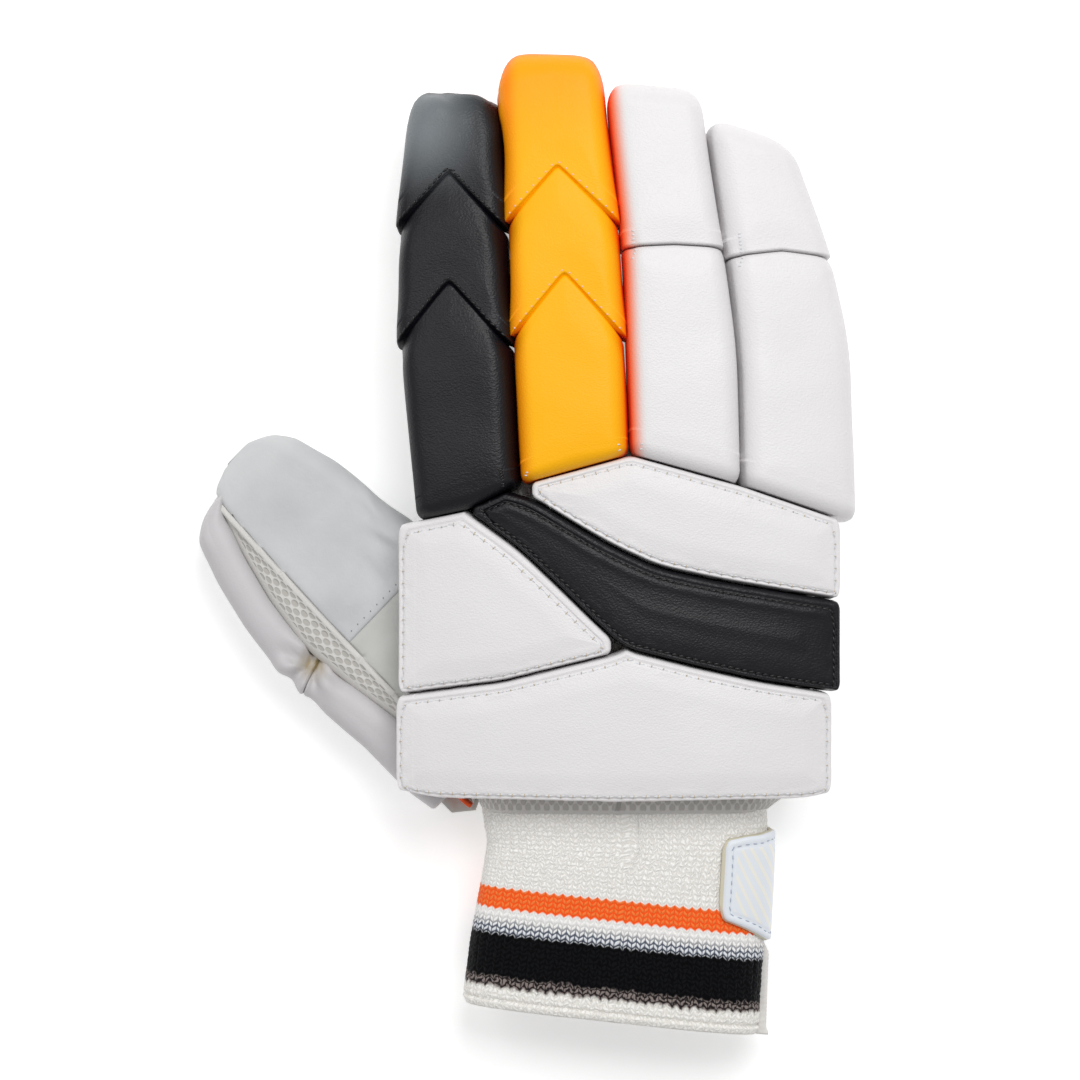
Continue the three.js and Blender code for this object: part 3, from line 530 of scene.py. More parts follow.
def nearest_on(mesh, points):
    """Lays points in mm on the surface of a mesh."""
    surface = surface_of(mesh)
    return np.array([surface.find_nearest(Vector(p) * MM)[0][:] for p in points]) / MM


def above_back(path, height):
    """Points over a line on the back of the hand, square to it as the blocks stand."""
    x, y = np.asarray(path).T
    return np.column_stack([x, y, back_height(x, y)]) + back_normal(x, y) * (SEAT + height)


def drop_on(mesh, line_points, sink=0.0):
    """Lays a line of x, y points in mm on the top of a mesh."""
    surface = surface_of(mesh)
    laid = []
    for x, y in line_points:
        hit = surface.ray_cast(Vector((x * MM, y * MM, 0.2)), Vector((0, 0, -1)))
        if hit[0] is not None:
            laid.append((x, y, hit[0].z / MM - sink))
    return np.array(laid)


def roll_lines(finger):
    """The lines across a roll, from its foot at the knuckles to its tip."""
    side = finger["side"]
    near, far = (finger_side(k, along_palm(1)) for k in (side, side + 1))
    lines = [lambda v: knuckle_line(near + (far - near) * (np.asarray(v) + 1) / 2) + SIDE_GAP]
    for sides, middle in finger["joints"]:
        for gap in (-JOINT_GAP, JOINT_GAP):
            lines.append(lambda v, s=sides, m=middle, g=gap: along_finger(
                m + (s - m) * (np.sqrt(np.asarray(v) ** 2 + 0.002) - 0.02)) + g)
    lines.append(lambda v: along_finger(finger["tip"] + finger["slant"] * np.asarray(v) / 2))
    return lines


def roll_place(side, low, high):
    def place(along, v):
        along, v = np.asarray(along, float), np.asarray(v, float)
        y = low(v) + (high(v) - low(v)) * along
        near, far = finger_side(side, y) + SIDE_GAP, finger_side(side + 1, y) - SIDE_GAP
        return near + (far - near) * (v + 1) / 2, y
    return place


def roll_detail(name, part, parts):
    """Moves for one piece of a roll: the fuller lip of its lower end, and the slope of its upper
    end, where it runs under the next piece."""
    pointed = len(parts) == 3
    run = POINTED_RUN if pointed else 1.0

    def detail(points, moves, info):
        low, high, v, top = info["along"] * run, info["left"] * run, info["v"], info["top"]
        wide = np.abs(v)
        outward = np.sign(v) * wide ** 3
        if part != parts[0]:
            moves[..., 0] += outward * (1.2 if pointed else 0.3) * bell(low, 6)
            moves[..., 2] -= (1 - top) * 0.2 * bell(low, 5)
            if not pointed:
                points[..., 2] -= top * 0.9 * bell(v + 0.78, 0.07) * bell(low, 3.4)
        if part != parts[-1]:
            give = 0.05 + (2.4 if pointed else 1.0) * wide ** 3
            points[..., 2] -= top * give * bell(high, 0.8 + (3.2 if pointed else 1.4) * wide)
            moves[..., 0] -= outward * 0.2 * bell(high, 8)
            if not pointed:
                points[..., 2] -= top * 1.6 * wide ** 8 * bell(high, 2.2)
                points[..., 2] -= top * 0.8 * bell(v + 0.8, 0.06) * bell(high, 3)
        seed = len(name) * 3 + parts.index(part)
        flat = points.reshape(-1, 3)
        rough = lumps(flat * (1, 1, 0.4), 17, seed).reshape(v.shape)
        points[..., 2] += rough * 0.45 * top
        moves[..., 0] += rough * 0.35 * (1 - top)
        if name == "index" and part == parts[-1]:
            folds = lumps(flat * (1, 0.45, 1), 5.5, 4).reshape(v.shape)
            points[..., 2] += folds * 1.5 * bell(info["left"], 10)
            moves[..., 1] += folds * 0.9 * bell(info["left"], 4)
        if name == "middle" and part == parts[-1]:
            folds = lumps(flat * (0.6, 1, 1), 6.0, 9).reshape(v.shape)
            full = (2.0 + 1.1 * folds) * bell(info["left"] - 10, 6)
            moves[..., 0] -= (1 - ease(v + 1.2)) * full
    return detail


for name, finger in FINGERS.items():
    lines = roll_lines(finger)
    parts = ["base", "middle", "tip"] if len(finger["joints"]) == 2 else ["base", "tip"]
    for i, part in enumerate(parts):
        last = i == len(parts) - 1
        place = roll_place(finger["side"], lines[2 * i], lines[2 * i + 1])
        mesh, outline, info = padded_block(
            f"{name}_roll_{part}_cover", place, ROLL_HEIGHT, ROLL_EDGE, 0.6,
            (4.2 if i == 0 else 0.6, TIP_EDGE if last else 1.4),
            (1.5 if i == 0 else 0.4, finger["corner"] * TIP_EDGE if last else 0.4),
            step=0.9, crown=0.55, detail=roll_detail(name, part, parts))
        x, y, z = points_of(mesh).T
        height = z - back_height(x, y)
        near, far = finger_side(finger["side"], y), finger_side(finger["side"] + 1, y)
        # On the amber roll the fade is painted shade: the side walls below the top and the edges
        # along the finger go deeper orange. The orange also deepens towards the tip.
        if name == "middle":
            side_fade = ease((ROLL_HEIGHT - 1.6 - height) / 6) * 0.9
            edge_fade = 0.4 * bell(np.minimum(x - near, far - x), 2.2)
            tip_fade = 0.27 * ease((y - along_finger(0.7)) / 40)
            keep_value(mesh, "fade", np.clip(side_fade + edge_fade + tip_fade, 0, 1))
        if name == "index":  # painted sheen: the top of the tip, most on its left side, is greyed to stand for a broad highlight
            across = (x - near) / (far - near)
            painted_sheen = 0.66 * ease((y - along_finger(0.62)) / 24) * ease(1.15 - across * 1.3)
            keep_value(mesh, "fade", painted_sheen * ease((height - 8) / 6))
        if name == "ring":
            keep_value(mesh, "fade", np.clip(0.92 * ease(1.12 - (x - near) / 4.6), 0, 1))
        piece(mesh, covers[name], slots[name], [f"{name}_roll_{part}"])
        for v_at, first_mm, last_mm in [r[2:] for r in CORNER_THREADS if r[:2] == (name, part)]:
            shares = np.linspace(first_mm, last_mm, 8) / info["length"]
            path = np.stack(place(shares % 1.0, np.linspace(v_at, v_at * 0.94, 8)), -1)
            kind = "corners_black" if name == "index" else "corners"
            seam_paths[kind].append(nearest_on(mesh, above_back(path, ROLL_HEIGHT - 0.6)))
        if i > 0 and len(parts) == 3:
            v = np.linspace(-0.93, 0.93, 60)
            inset = 0.6 if name == "middle" else 0.5
            path = np.stack(place(np.full_like(v, inset / POINTED_RUN / info["length"]), v), -1)
            laid = nearest_on(mesh, above_back(resampled(path, 0.8), ROLL_HEIGHT))
            seam_paths["amber" if name == "middle" else "black"].append(laid)
    print(name, "roll:", parts)

# %% [markdown]
# ## Pads on the back of the hand
# Four flat pads cover the back: a white one over the knuckles, a black sweep, and two white ones
# at the wrist. The top panel of each is sewn to its side wall, and the seam shows as a narrow bead
# with a stitched groove inside it. The groove follows the outline, so it is drawn from each
# point's distance to it.

# %% Pads
PAD_HEIGHT, PAD_EDGE, PAD_SLOPE, PAD_CORNER = 14, 1.3, 0.5, 4


def lower(first, second):
    return lambda x: np.minimum(first(x), second(x))


PADS = {
    "knuckle": dict(start=-.395, stop=1.0, low=knuckle_seam, high=knuckle_line,
                    corner=(1.6, PAD_CORNER), inset=1.5, more=1.0),
    "sweep": dict(start=-.66, stop=1.0, low=sweep_seam, high=lower(knuckle_seam, knuckle_line),
                  corner=(.6, 2.4), inset=1.6, more=1.6),
    "corner": dict(start=-1.0, stop=-.04, low=corner_seam, high=lower(sweep_seam, knuckle_line),
                   corner=(PAD_CORNER, 1.5), inset=1.3, more=2.3),
    "wrist": dict(start=-1.01, stop=.96, low=wrist_edge, high=lower(corner_seam, sweep_seam),
                  corner=(PAD_CORNER, PAD_CORNER), inset=1.3, more=1.6),
}


def pad_place(pad):
    def place(along, v):
        x = HALF_HAND * (pad["start"] + (pad["stop"] - pad["start"]) * np.asarray(along, float))
        bottom, top = pad["low"](x) + PAD_GAP, pad["high"](x) - PAD_GAP
        return x, top + (bottom - top) * (np.asarray(v, float) + 1) / 2
    return place


def groove_inset(pad, x, y):
    """How far inside the outline the top seam runs: further along the upper side."""
    return pad["inset"] + pad["more"] * ease(1 - (pad["high"](x) - y) / 9)


def pad_detail(name, pad):
    def detail(points, moves, info):
        x, y, top = points[..., 0], points[..., 1], info["top"]
        inset = groove_inset(pad, x, y)
        flat = points.reshape(-1, 3)
        pucker = lumps(flat, 3.2, 2).reshape(x.shape)
        broad = lumps(flat, 24, len(name)).reshape(x.shape)
        near = info["depth"] - inset
        points[..., 2] += top * (-0.6 * bell(near, 0.42) + 0.2 * bell(near - 1.4, 1.0) * pucker)
        points[..., 2] += top * (0.14 * bell(near + 0.9, 0.7) * pucker + 0.45 * broad)
        if name == "sweep":
            upper = ease(1 - (pad["high"](x) - y) / 12)
            points[..., 2] += top * 0.7 * bell(near - 2.6, 2.0) * upper
            points[..., 2] -= top * 0.35 * bell(info["depth"] - 9, 3.5)
        moves[..., 1] += 0.25 * pucker * (1 - top)
    return detail


def inner_line(outline, pad):
    """The stitched seam: the outline moved inwards, without the points that crowd at corners."""
    ahead = np.roll(outline, -3, 0) - np.roll(outline, 3, 0)
    square = np.stack([-ahead[:, 1], ahead[:, 0]], -1)
    square /= np.maximum(np.linalg.norm(square, axis=1, keepdims=True), 1e-9)
    inset = groove_inset(pad, outline[:, 0], outline[:, 1])[:, None]
    middle = outline.mean(0)
    sign = 1 if (square * (middle - outline)).sum() > 0 else -1
    moved = outline + sign * square * inset
    free = distance_to(in_plan(outline), in_plan(moved)) > inset[:, 0] - 0.12
    line_points = moved[free]
    return np.concatenate([line_points, line_points[:1]])


for name, pad in PADS.items():
    mesh, outline, info = padded_block(
        f"{name}_pad_cover", pad_place(pad), PAD_HEIGHT, PAD_EDGE, PAD_SLOPE,
        (PAD_EDGE, PAD_EDGE), pad["corner"], step=0.6, crown=0.9, bulge=0.3,
        detail=pad_detail(name, pad))
    leather, slot, seam_kind = ((black_leather, "pu_black", "black") if name == "sweep" else
                                (white_leather, "pu_white", "pads"))
    piece(mesh, leather, slot, [f"{name}_pad"])
    inside = resampled(inner_line(outline, pad), 0.7)
    laid = nearest_on(mesh, above_back(inside, PAD_HEIGHT + 0.3))
    seam_paths[seam_kind].append(laid)
    print(name, "pad:", len(mesh.polygons), "faces, seam of", len(laid), "points")

# %% [markdown]
# ## The thumb and its guard
# The thumb leaves the palm at 46 degrees. It has its own small frame: s runs along it and t
# across it, away from the fingers. The guard is a foam strip in two pieces. Where the thumb bends
# it is pinched, with creases that run from there like rays, and its tip is wrinkled. Rings along
# s give its body, and each crease is a small move of their points.

# %% Thumb frame and tables
THUMB_LENGTH, THUMB_WIDTH, THUMB_DEPTH, THUMB_EDGE = 72, 49, 24, 5.5
THUMB_ANGLE = math.radians(46)
HEEL_SHARE = 0.472  # share of the palm below the thumb's root
HEEL_LENGTH = HEEL_SHARE * PALM_LENGTH
THUMB_ROOT = np.array([-1.055 * HALF_HAND, float(along_palm(HEEL_SHARE))])
GUARD_THICKNESS, GUARD_HEIGHT, GUARD_EDGE, GUARD_START = 10, 22.5, 4.6, -.88
FLOOR_GAP = 0.6  # under the guard
along_way = np.array([-math.sin(THUMB_ANGLE), math.cos(THUMB_ANGLE)])
across_way = np.array([-math.cos(THUMB_ANGLE), -math.sin(THUMB_ANGLE)])
THUMB_ROWS = [  # s, inner side, outer side, floor, depth, round edge
    (-1.0, -.1, .385, 0, .95, 1), (-.68, -.3, .36, 0, 1, 1), (-.3, -.5, .385, 0, 1, 1),
    (.02, -.57, .43, 0, 1, 1), (.27, -.56, .455, 0, .98, 1), (.5, -.525, .4, 0, .94, 1),
    (.72, -.49, .315, 0, .88, 1), (.88, -.43, .24, .02, .8, .92), (.96, -.34, .14, .07, .64, .7),
    (1.0, -.22, .02, .13, .44, .45)]
GUARD_ROWS = [  # s, thickness, height
    (-.88, 1.1, .9), (-.68, 1.3, 1), (-.3, 1.13, 1), (.02, 1, 1), (.1, .98, 1), (.27, .93, 1),
    (.5, .95, 1), (.72, .97, .97), (.88, 1, .92), (.94, .85, .84)]


def thumb_share(s):
    return s / (THUMB_LENGTH if s > 0 else HEEL_LENGTH)


def thumb_length(share):
    return share * (THUMB_LENGTH if share > 0 else HEEL_LENGTH)


def thumb_place(s, t, z):
    t, z = np.broadcast_arrays(np.asarray(t, float), np.asarray(z, float))
    xy = THUMB_ROOT + s * along_way + t[..., None] * across_way
    return np.concatenate([xy, z[..., None]], -1)


def under_pads(y):
    return float(back_height(1.04 * HALF_HAND, y))


print("thumb root at", THUMB_ROOT.round(1), "mm")
inner, outer, low_side, deep, edging = (line([(row[0], row[k]) for row in THUMB_ROWS], 0.02)
                                        for k in range(1, 6))
guard_thick, guard_high = (line([(row[0], row[k]) for row in GUARD_ROWS], 0.05) for k in (1, 2))


# %% A rounded ring that stands on the floor
def standing_ring(left, right, floor, top, edge, arc=9, flat=14, wall=4):
    """Points u, z of a rounded section. top(u) is its height at u."""
    turn = np.linspace(0, math.pi / 2, arc)
    side, down = edge * (1 - np.sin(turn)), edge * (1 - np.cos(turn))
    rise = np.linspace(0, 1, wall + 2)[1:-1]
    high_right = top(right - side) - down
    high_left = top(left + side) - down
    u = np.concatenate([right - side, np.full(wall, right), (right - side)[::-1],
                        np.linspace(right - edge, left + edge, flat + 2)[1:-1],
                        left + side, np.full(wall, left), (left + side)[::-1],
                        np.linspace(left + edge, right - edge, flat + 2)[1:-1]])
    z = np.concatenate([
        floor + down, floor + edge + (high_right[-1] - floor - edge) * rise, high_right[::-1],
        top(np.linspace(right - edge, left + edge, flat + 2)[1:-1]),
        high_left, high_left[-1] + (floor + edge - high_left[-1]) * rise, (floor + down)[::-1],
        np.full(flat, floor)])
    return u, z


# %% Thumb guard
guard_split = 0.12 * THUMB_LENGTH
pinch_at = thumb_place(guard_split + 4.8, THUMB_WIDTH * float(outer(0.15)) + 1.6, 0)[:2]


def guard_ring(s, slim):
    share = thumb_share(s)
    inside = THUMB_WIDTH * float(outer(share)) + SEAT - 0.6 * float(ease((s - 48) / 14))
    high = FLOOR_GAP + float(guard_high(share)) * GUARD_HEIGHT
    top = min(high, under_pads(thumb_place(s, 0, 0)[1])) - slim
    right = inside + float(guard_thick(share)) * GUARD_THICKNESS - slim
    edge = max(0.6, min(GUARD_EDGE - slim, (right - inside) / 2.1))
    u, z = standing_ring(inside, right, FLOOR_GAP + slim, lambda t: np.full_like(t, top), edge,
                         arc=7, flat=5, wall=9)
    full = bell(u - inside, 3.0) * ease((z - 8) / 8)
    return thumb_place(s, u - 1.5 * full, z + 0.5 * full), u - inside, z


def guard_piece(name, start, stop, split_end):
    """A length of the guard. split_end is the s of the pinched joint."""
    arc = np.linspace(math.pi / 2, 0, 10)
    ends, far = 1.0, (5.5 if name == "tip" else 1.0)
    run = [(start + ends * (1 - math.sin(a)), ends * (1 - math.cos(a))) for a in arc]
    run += [(s, 0.0) for s in np.arange(start + ends + 0.8, stop - far, 0.8)]
    run += [(stop - far * (1 - math.sin(a)), far * (1 - math.cos(a))) for a in arc[::-1]]
    rings = []
    for s, slim in run:
        ring, out_from_thumb, z = guard_ring(s, slim)
        slant = 4.6 * (1 - out_from_thumb / 12) * float(bell(s - split_end, 11))
        ring[:, :2] += slant[:, None] * along_way
        away = ring - ring.mean(0)
        away /= np.maximum(np.linalg.norm(away, axis=1, keepdims=True), 1e-6)
        on_guard = np.stack([np.full_like(z, s), out_from_thumb, z], -1)
        folds = lumps(on_guard * (0.9, 0.22, 0.25), 2.6, 7)
        tip = lumps(on_guard * (0.35, 0.9, 0.5), 3.0, 8)
        soft = lumps(ring, 15, 9)
        near_split = float(bell(s - split_end, 7))
        near_tip = float(ease((s - 0.68 * THUMB_LENGTH) / 18))
        top_side = ease((z - 9) / 8)
        offset = ring[:, :2] - pinch_at
        distance = np.linalg.norm(offset, axis=1)
        angle = np.arctan2(offset @ across_way, offset @ along_way)
        rays = np.cos(6 * angle + 1.2) * bell(distance - 6, 5) * top_side * 1.35
        pinch = 0.5 * near_split * folds + 1.05 * rays
        moved = ring + away * (pinch + near_tip * 0.75 * tip + 0.3 * soft)[:, None]
        moved[:, 2] -= 5.0 * top_side * bell(distance, 3.8)
        rings.append(moved)
    mesh = ring_mesh(f"thumb_guard_{name}_cover", rings)
    # The fade is painted shade in the pinched hollow: a darker tan round the pinch, mottled.
    points = points_of(mesh)
    far = np.linalg.norm(points[:, :2] - pinch_at, axis=1)
    keep_value(mesh, "fade", np.clip(0.95 * bell(far, 3.1) * (1 + lumps(points, 1.6, 12)), 0, 1))
    return mesh


# The guard's grey is a pale coating darkened further, as painted shade on the thumb's side of the
# glove.
guard_leather = coated_leather("coated_leather_guard", "#c7c5c7", 0.5, second_tone="#a8966a",
                               relief=0.25, shade=0.12)
guards = {"tip": (guard_split + 0.06, thumb_length(.955)),
          "base": (thumb_length(GUARD_START), guard_split - 0.06)}
for name, (start, stop) in guards.items():
    mesh = guard_piece(name, start, stop, guard_split)
    piece(mesh, guard_leather, "pu_white", [f"thumb_guard_{name}"])
    print("thumb guard", name, len(mesh.polygons), "faces")

# %% [markdown]
# ## The shell: palm, mesh and thumb
# The hand, the thumb and the four finger stalls are one bag of leather and mesh. The way to keep
# its seams tight is to make the whole bag first, as closed forms joined by a boolean, then to cut
# it along the seams and give each cut piece its own fabric. A piece becomes a wall last of all,
# with Solidify, so that folds can be drawn on a single sheet.

# %% Closed forms of hand, thumb and fingers
HAND_ROWS = [  # share of the palm's length, left and right side
    (0, -.66, .73), (.04, -.71, .85), (.22, -.8, .92), (.5, -.86, .945), (.8, -.89, .98),
    (1.14, -.93, 1.025)]
hand_left, hand_right = (line([(row[0], row[k]) for row in HAND_ROWS], 0.02) for k in (1, 2))
STALL_ROWS = [  # share of its length, width, floor, fall of the top, round edge
    (0, 1, 0, 0, 1), (.35, 1, 0, 0, 1), (.7, .96, .01, .02, 1), (.9, .9, .025, .05, .95),
    (.965, .76, .06, .12, .85), (1, .5, .125, .25, .7)]
stall_width, stall_low, stall_high, stall_edge = (
    line([(row[0], row[k]) for row in STALL_ROWS], 0.012) for k in range(1, 5))
STALL_EDGE, HAND_EDGE, FINGER_SPACE, TIP_OVERHANG = 7.5, 11, 4.6, 6


def hand_form():
    rings = []
    for share in np.linspace(0, 1.14, 58):
        y = float(along_palm(share))
        left, right = HALF_HAND * float(hand_left(share)), HALF_HAND * float(hand_right(share))
        u, z = standing_ring(left, right, 0, lambda x: back_height(x, y), HAND_EDGE, flat=44)
        rings.append(np.stack([u, np.full_like(u, y), z], -1))
    return ring_mesh("hand_form", rings)


def thumb_form():
    rings = []
    shares = np.concatenate([np.linspace(-1, 0, 24)[:-1], np.linspace(0, .9, 40)[:-1],
                             1 - 0.1 * np.linspace(1, 0, 12) ** 1.6])
    for share in shares:
        s = thumb_length(share) + 1.8 * float(ease((share - 0.75) / 0.25))

        def top(t, s=s, share=share):
            y = thumb_place(s, t, 0)[..., 1]
            return np.minimum(float(deep(share)) * THUMB_DEPTH, back_height(1.04 * HALF_HAND, y))
        u, z = standing_ring(float(inner(share)) * THUMB_WIDTH, float(outer(share)) * THUMB_WIDTH,
                             float(low_side(share)) * THUMB_DEPTH, top,
                             float(edging(share)) * THUMB_EDGE, flat=16)
        rings.append(thumb_place(s, u, z))
    return ring_mesh("thumb_form", rings)


def stall_form(side, tip_share):
    root, tip = float(along_palm(1.06)), float(along_finger(tip_share)) - TIP_OVERHANG
    rings = []
    for at in np.concatenate([np.linspace(0, .88, 40)[:-1],
                              1 - 0.12 * np.linspace(1, 0, 9) ** 1.5]):
        y = root + at * (tip - root)
        near, far = float(finger_side(side, y)), float(finger_side(side + 1, y))
        middle = (near + far) / 2
        half = (far - near - FINGER_SPACE) / 2 * float(stall_width(at))
        floor_z, fall = float(stall_low(at)) * TIP_DEPTH, float(stall_high(at)) * TIP_DEPTH
        wall = float(back_height(middle + np.array([-half, half]), y).min()) - fall - floor_z
        edge = min(float(stall_edge(at)) * STALL_EDGE, half * 0.92, wall * 0.46)
        u, z = standing_ring(middle - half, middle + half, floor_z,
                             lambda x: back_height(x, y) - fall, edge, flat=6)
        rings.append(np.stack([u, np.full_like(u, y), z], -1))
    return ring_mesh(f"stall_form_{side}", rings)


def joined(meshes):
    """One closed mesh from several that reach into each other."""
    objects = [bpy.data.objects.new(m.name, m) for m in meshes]
    for made in objects:
        scene.collection.objects.link(made)
    for other in objects[1:]:
        step = objects[0].modifiers.new(other.name, "BOOLEAN")
        step.operation, step.solver, step.object = "UNION", "MANIFOLD", other
    result = modified(objects[0])
    for other in objects[1:]:
        bpy.data.objects.remove(other)
    return result


stalls = [stall_form(k, f["tip"]) for k, f in enumerate(FINGERS.values())]
bag = joined([hand_form(), thumb_form(), *stalls])
print("bag:", len(bag.polygons), "faces")

# %% [markdown]
# ## Seams of the bag
# Palm, back, web, thumb and the mesh strip beside it are sewn edge to edge. Each seam lies in a
# plane, so a bisect along every plane gives the cut edges, and each face is then sorted by the
# place of its middle. Cutting one closed bag keeps the pieces' edges exactly on each other.

# %% Cut the bag along its seams
stall_seam = float(along_palm(1.16))
palm_top, web_edge = 0.36 * HAND_DEPTH, -0.72 * HALF_HAND
front_top = 0.42 * TIP_DEPTH
thumb_seam, thumb_inner = 0.14 * THUMB_LENGTH, 0.6 * THUMB_WIDTH
strip_turn = THUMB_ANGLE - math.radians(3)
strip_way = np.array([-math.cos(strip_turn), -math.sin(strip_turn)])
strip_side, strip_foot = 0.235 * THUMB_WIDTH, 0.16 * THUMB_DEPTH
strip_end, strip_inner = -0.68 * HEEL_LENGTH, -0.5 * HALF_HAND
wrist_y = float(along_palm(0))


def along_of(p):
    return (p[..., :2] - THUMB_ROOT) @ along_way


def across_of(p):
    return (p[..., :2] - THUMB_ROOT) @ across_way


def strip_of(p):
    return (p[..., :2] - THUMB_ROOT) @ strip_way


def cut_along(bm, planes):
    """Cuts a mesh along planes, each given as a point in mm and the way that it faces."""
    for place, way in planes:
        bmesh.ops.bisect_plane(bm, geom=bm.verts[:] + bm.edges[:] + bm.faces[:], dist=0.01 * MM,
                               plane_co=Vector(place) * MM, plane_no=Vector(way))


def region_of(p):
    """The piece that a point of the bag belongs to."""
    x, y, z = p
    if y > stall_seam:
        return "stall"
    if y < wrist_y + 0.02:
        return "end"
    on_strip = strip_of(p) > strip_side and along_of(p) > strip_end
    if on_strip and z > strip_foot and x < strip_inner:
        return "gusset"
    if along_of(p) > thumb_seam and x < web_edge and across_of(p) > -thumb_inner:
        return "thumb"
    if z < palm_top:
        return "palm"
    return "web" if x < web_edge else "back"


bm = bmesh.new()
bm.from_mesh(bag)
bmesh.ops.remove_doubles(bm, verts=bm.verts, dist=0.02 * MM)
planes = [((0, stall_seam, 0), (0, 1, 0)), ((0, wrist_y + 0.02, 0), (0, 1, 0)),
          ((0, 0, palm_top), (0, 0, 1)), ((0, 0, strip_foot), (0, 0, 1)),
          ((web_edge, 0, 0), (1, 0, 0)),
          (thumb_place(thumb_seam, 0.0, 0.0), (*along_way, 0)),
          (thumb_place(strip_end, 0.0, 0.0), (*along_way, 0)),
          ((*(THUMB_ROOT + strip_way * strip_side), 0), (*strip_way, 0))]
cut_along(bm, planes)
layer = bm.faces.layers.int.new("region")
REGIONS = ["palm", "back", "web", "thumb", "gusset", "stall", "end"]
for face in bm.faces:
    face[layer] = REGIONS.index(region_of(np.array(face.calc_center_median()) / MM))
bm.to_mesh(bag)
cut_bag = bm
print("cut into", {r: sum(f[layer] == i for f in bm.faces) for i, r in enumerate(REGIONS)})

# %% [markdown]
# ## Soft leather and mesh
# Thumb and palm are of thin tanned leather with no coating: matt, with pores and soft folds.
# The back, the gussets and the strip along the thumb are a knitted mesh with holes about 2 mm wide
# and 3 mm apart. They are a regular pattern, so they are worked out from the place on the cloth,
# as two lattices, one half a step beside the other, and kept in the material: hundreds of real
# holes would cost many faces and would hardly show.

# %% Soft leather
def soft_leather(name, colour, shadow, roughness=0.62):
    material, tree = new_material(name)
    place = node(tree, "ShaderNodeTexCoord").outputs["Object"]
    pores = node(tree, "ShaderNodeTexVoronoi", {"Vector": place, "Scale": cells_of(0.9)})
    hair = node(tree, "ShaderNodeTexNoise", {"Vector": place, "Scale": cells_of(0.5), "Detail": 4})
    folds = node(tree, "ShaderNodeTexNoise", {"Vector": place, "Scale": cells_of(7), "Detail": 5,
                                              "Distortion": 0.6})
    deep = node(tree, "ShaderNodeBump", {"Height": folds, "Strength": 0.3,
                                         "Distance": 0.8 * MM})
    fine = node(tree, "ShaderNodeMath", {0: pores, 1: hair},
                operation="ADD")
    bump = node(tree, "ShaderNodeBump", {"Height": fine, "Strength": 0.22,
                                         "Distance": 0.1 * MM, "Normal": deep})
    clouds = node(tree, "ShaderNodeTexNoise", {"Vector": place, "Scale": cells_of(22), "Detail": 4})
    share = node(tree, "ShaderNodeMapRange", {"Value": clouds, "From Min": 0.35,
                                              "From Max": 0.68})
    tone = node(tree, "ShaderNodeMix", {"Factor": share, "A": linear(colour),
                                        "B": linear(shadow)}, data_type="RGBA")
    skin = node(tree, "ShaderNodeBsdfPrincipled", {
        "Base Color": tone.outputs["Result"], "Roughness": roughness, "IOR": 1.45,
        "Normal": bump})
    node(tree, "ShaderNodeOutputMaterial", {"Surface": skin})
    return material


thumb_skin = soft_leather("tanned_leather_grey", "#cccdce", "#c0c2c4")
web_skin = soft_leather("tanned_leather_pale", "#c4c5c1", "#b9bab6")
print("soft leathers:", thumb_skin.name, web_skin.name)


# %% Mesh with round holes
def holed_mesh(name, pitch, hole, plain, colour, hollow):
    """A knitted mesh. Its holes keep plain mm away from a border, and follow the values sideways
    and lengthways, which are distances on the cloth. pitch is in mm, hole a share of it."""
    material, tree = new_material(name)
    place = node(tree, "ShaderNodeTexCoord").outputs["Object"]
    sideways = node(tree, "ShaderNodeAttribute", attribute_name="sideways").outputs["Fac"]
    lengthways = node(tree, "ShaderNodeAttribute", attribute_name="lengthways").outputs["Fac"]
    spot = node(tree, "ShaderNodeCombineXYZ", {"X": sideways, "Y": lengthways}).outputs["Vector"]
    lattices = []
    for shift in (0.0, 0.5):
        moved = node(tree, "ShaderNodeMapping", {"Vector": spot, "Location": (shift, shift, 0),
                                                 "Scale": (1 / pitch, 0.66 / pitch, 1)})
        lattices.append(node(tree, "ShaderNodeTexVoronoi",
                             {"Vector": moved, "Scale": 1.0, "Randomness": 0.05},
                             voronoi_dimensions="2D").outputs["Distance"])
    nearest = node(tree, "ShaderNodeMath", {0: lattices[0], 1: lattices[1]}, operation="MINIMUM")
    border = node(tree, "ShaderNodeAttribute", attribute_name="border").outputs["Fac"]
    whole = node(tree, "ShaderNodeMapRange", {"Value": border, "From Min": plain,
                                              "From Max": plain + 0.3})
    inside = node(tree, "ShaderNodeMapRange", {
        "Value": nearest, "From Min": hole * 0.72, "From Max": hole * 1.15, "To Min": 1,
        "To Max": 0}, interpolation_type="SMOOTHSTEP")
    open_hole = node(tree, "ShaderNodeMath", {0: inside, 1: whole},
                     operation="MULTIPLY")
    yarn = node(tree, "ShaderNodeTexNoise", {"Vector": place, "Scale": cells_of(0.35), "Detail": 2})
    # The hollow colour is painted shade: the pale lining seen through a hole is drawn darker, as it
    # lies in shade.
    tone = node(tree, "ShaderNodeMix", {"Factor": open_hole, "A": linear(colour),
                                        "B": linear(hollow)}, data_type="RGBA")
    height = node(tree, "ShaderNodeMath", {0: open_hole, 1: -3.0, 2: yarn},
                  operation="MULTIPLY_ADD")
    bump = node(tree, "ShaderNodeBump", {"Height": height, "Strength": 0.6,
                                         "Distance": 0.16 * MM})
    cloth = node(tree, "ShaderNodeBsdfPrincipled", {
        "Base Color": tone.outputs["Result"], "Roughness": 0.82, "Sheen Weight": 0.25,
        "Normal": bump})
    node(tree, "ShaderNodeOutputMaterial", {"Surface": cloth})
    return material


back_fabric = holed_mesh("knitted_mesh_back", 3.0, 0.32, 0.4, "#d6d3d0", "#b9b6b1")
strip_fabric = holed_mesh("knitted_mesh_thumb", 2.8, 0.3, 1.6, "#d6d4d0", "#b8b5af")
print("knitted meshes:", back_fabric.name, strip_fabric.name)


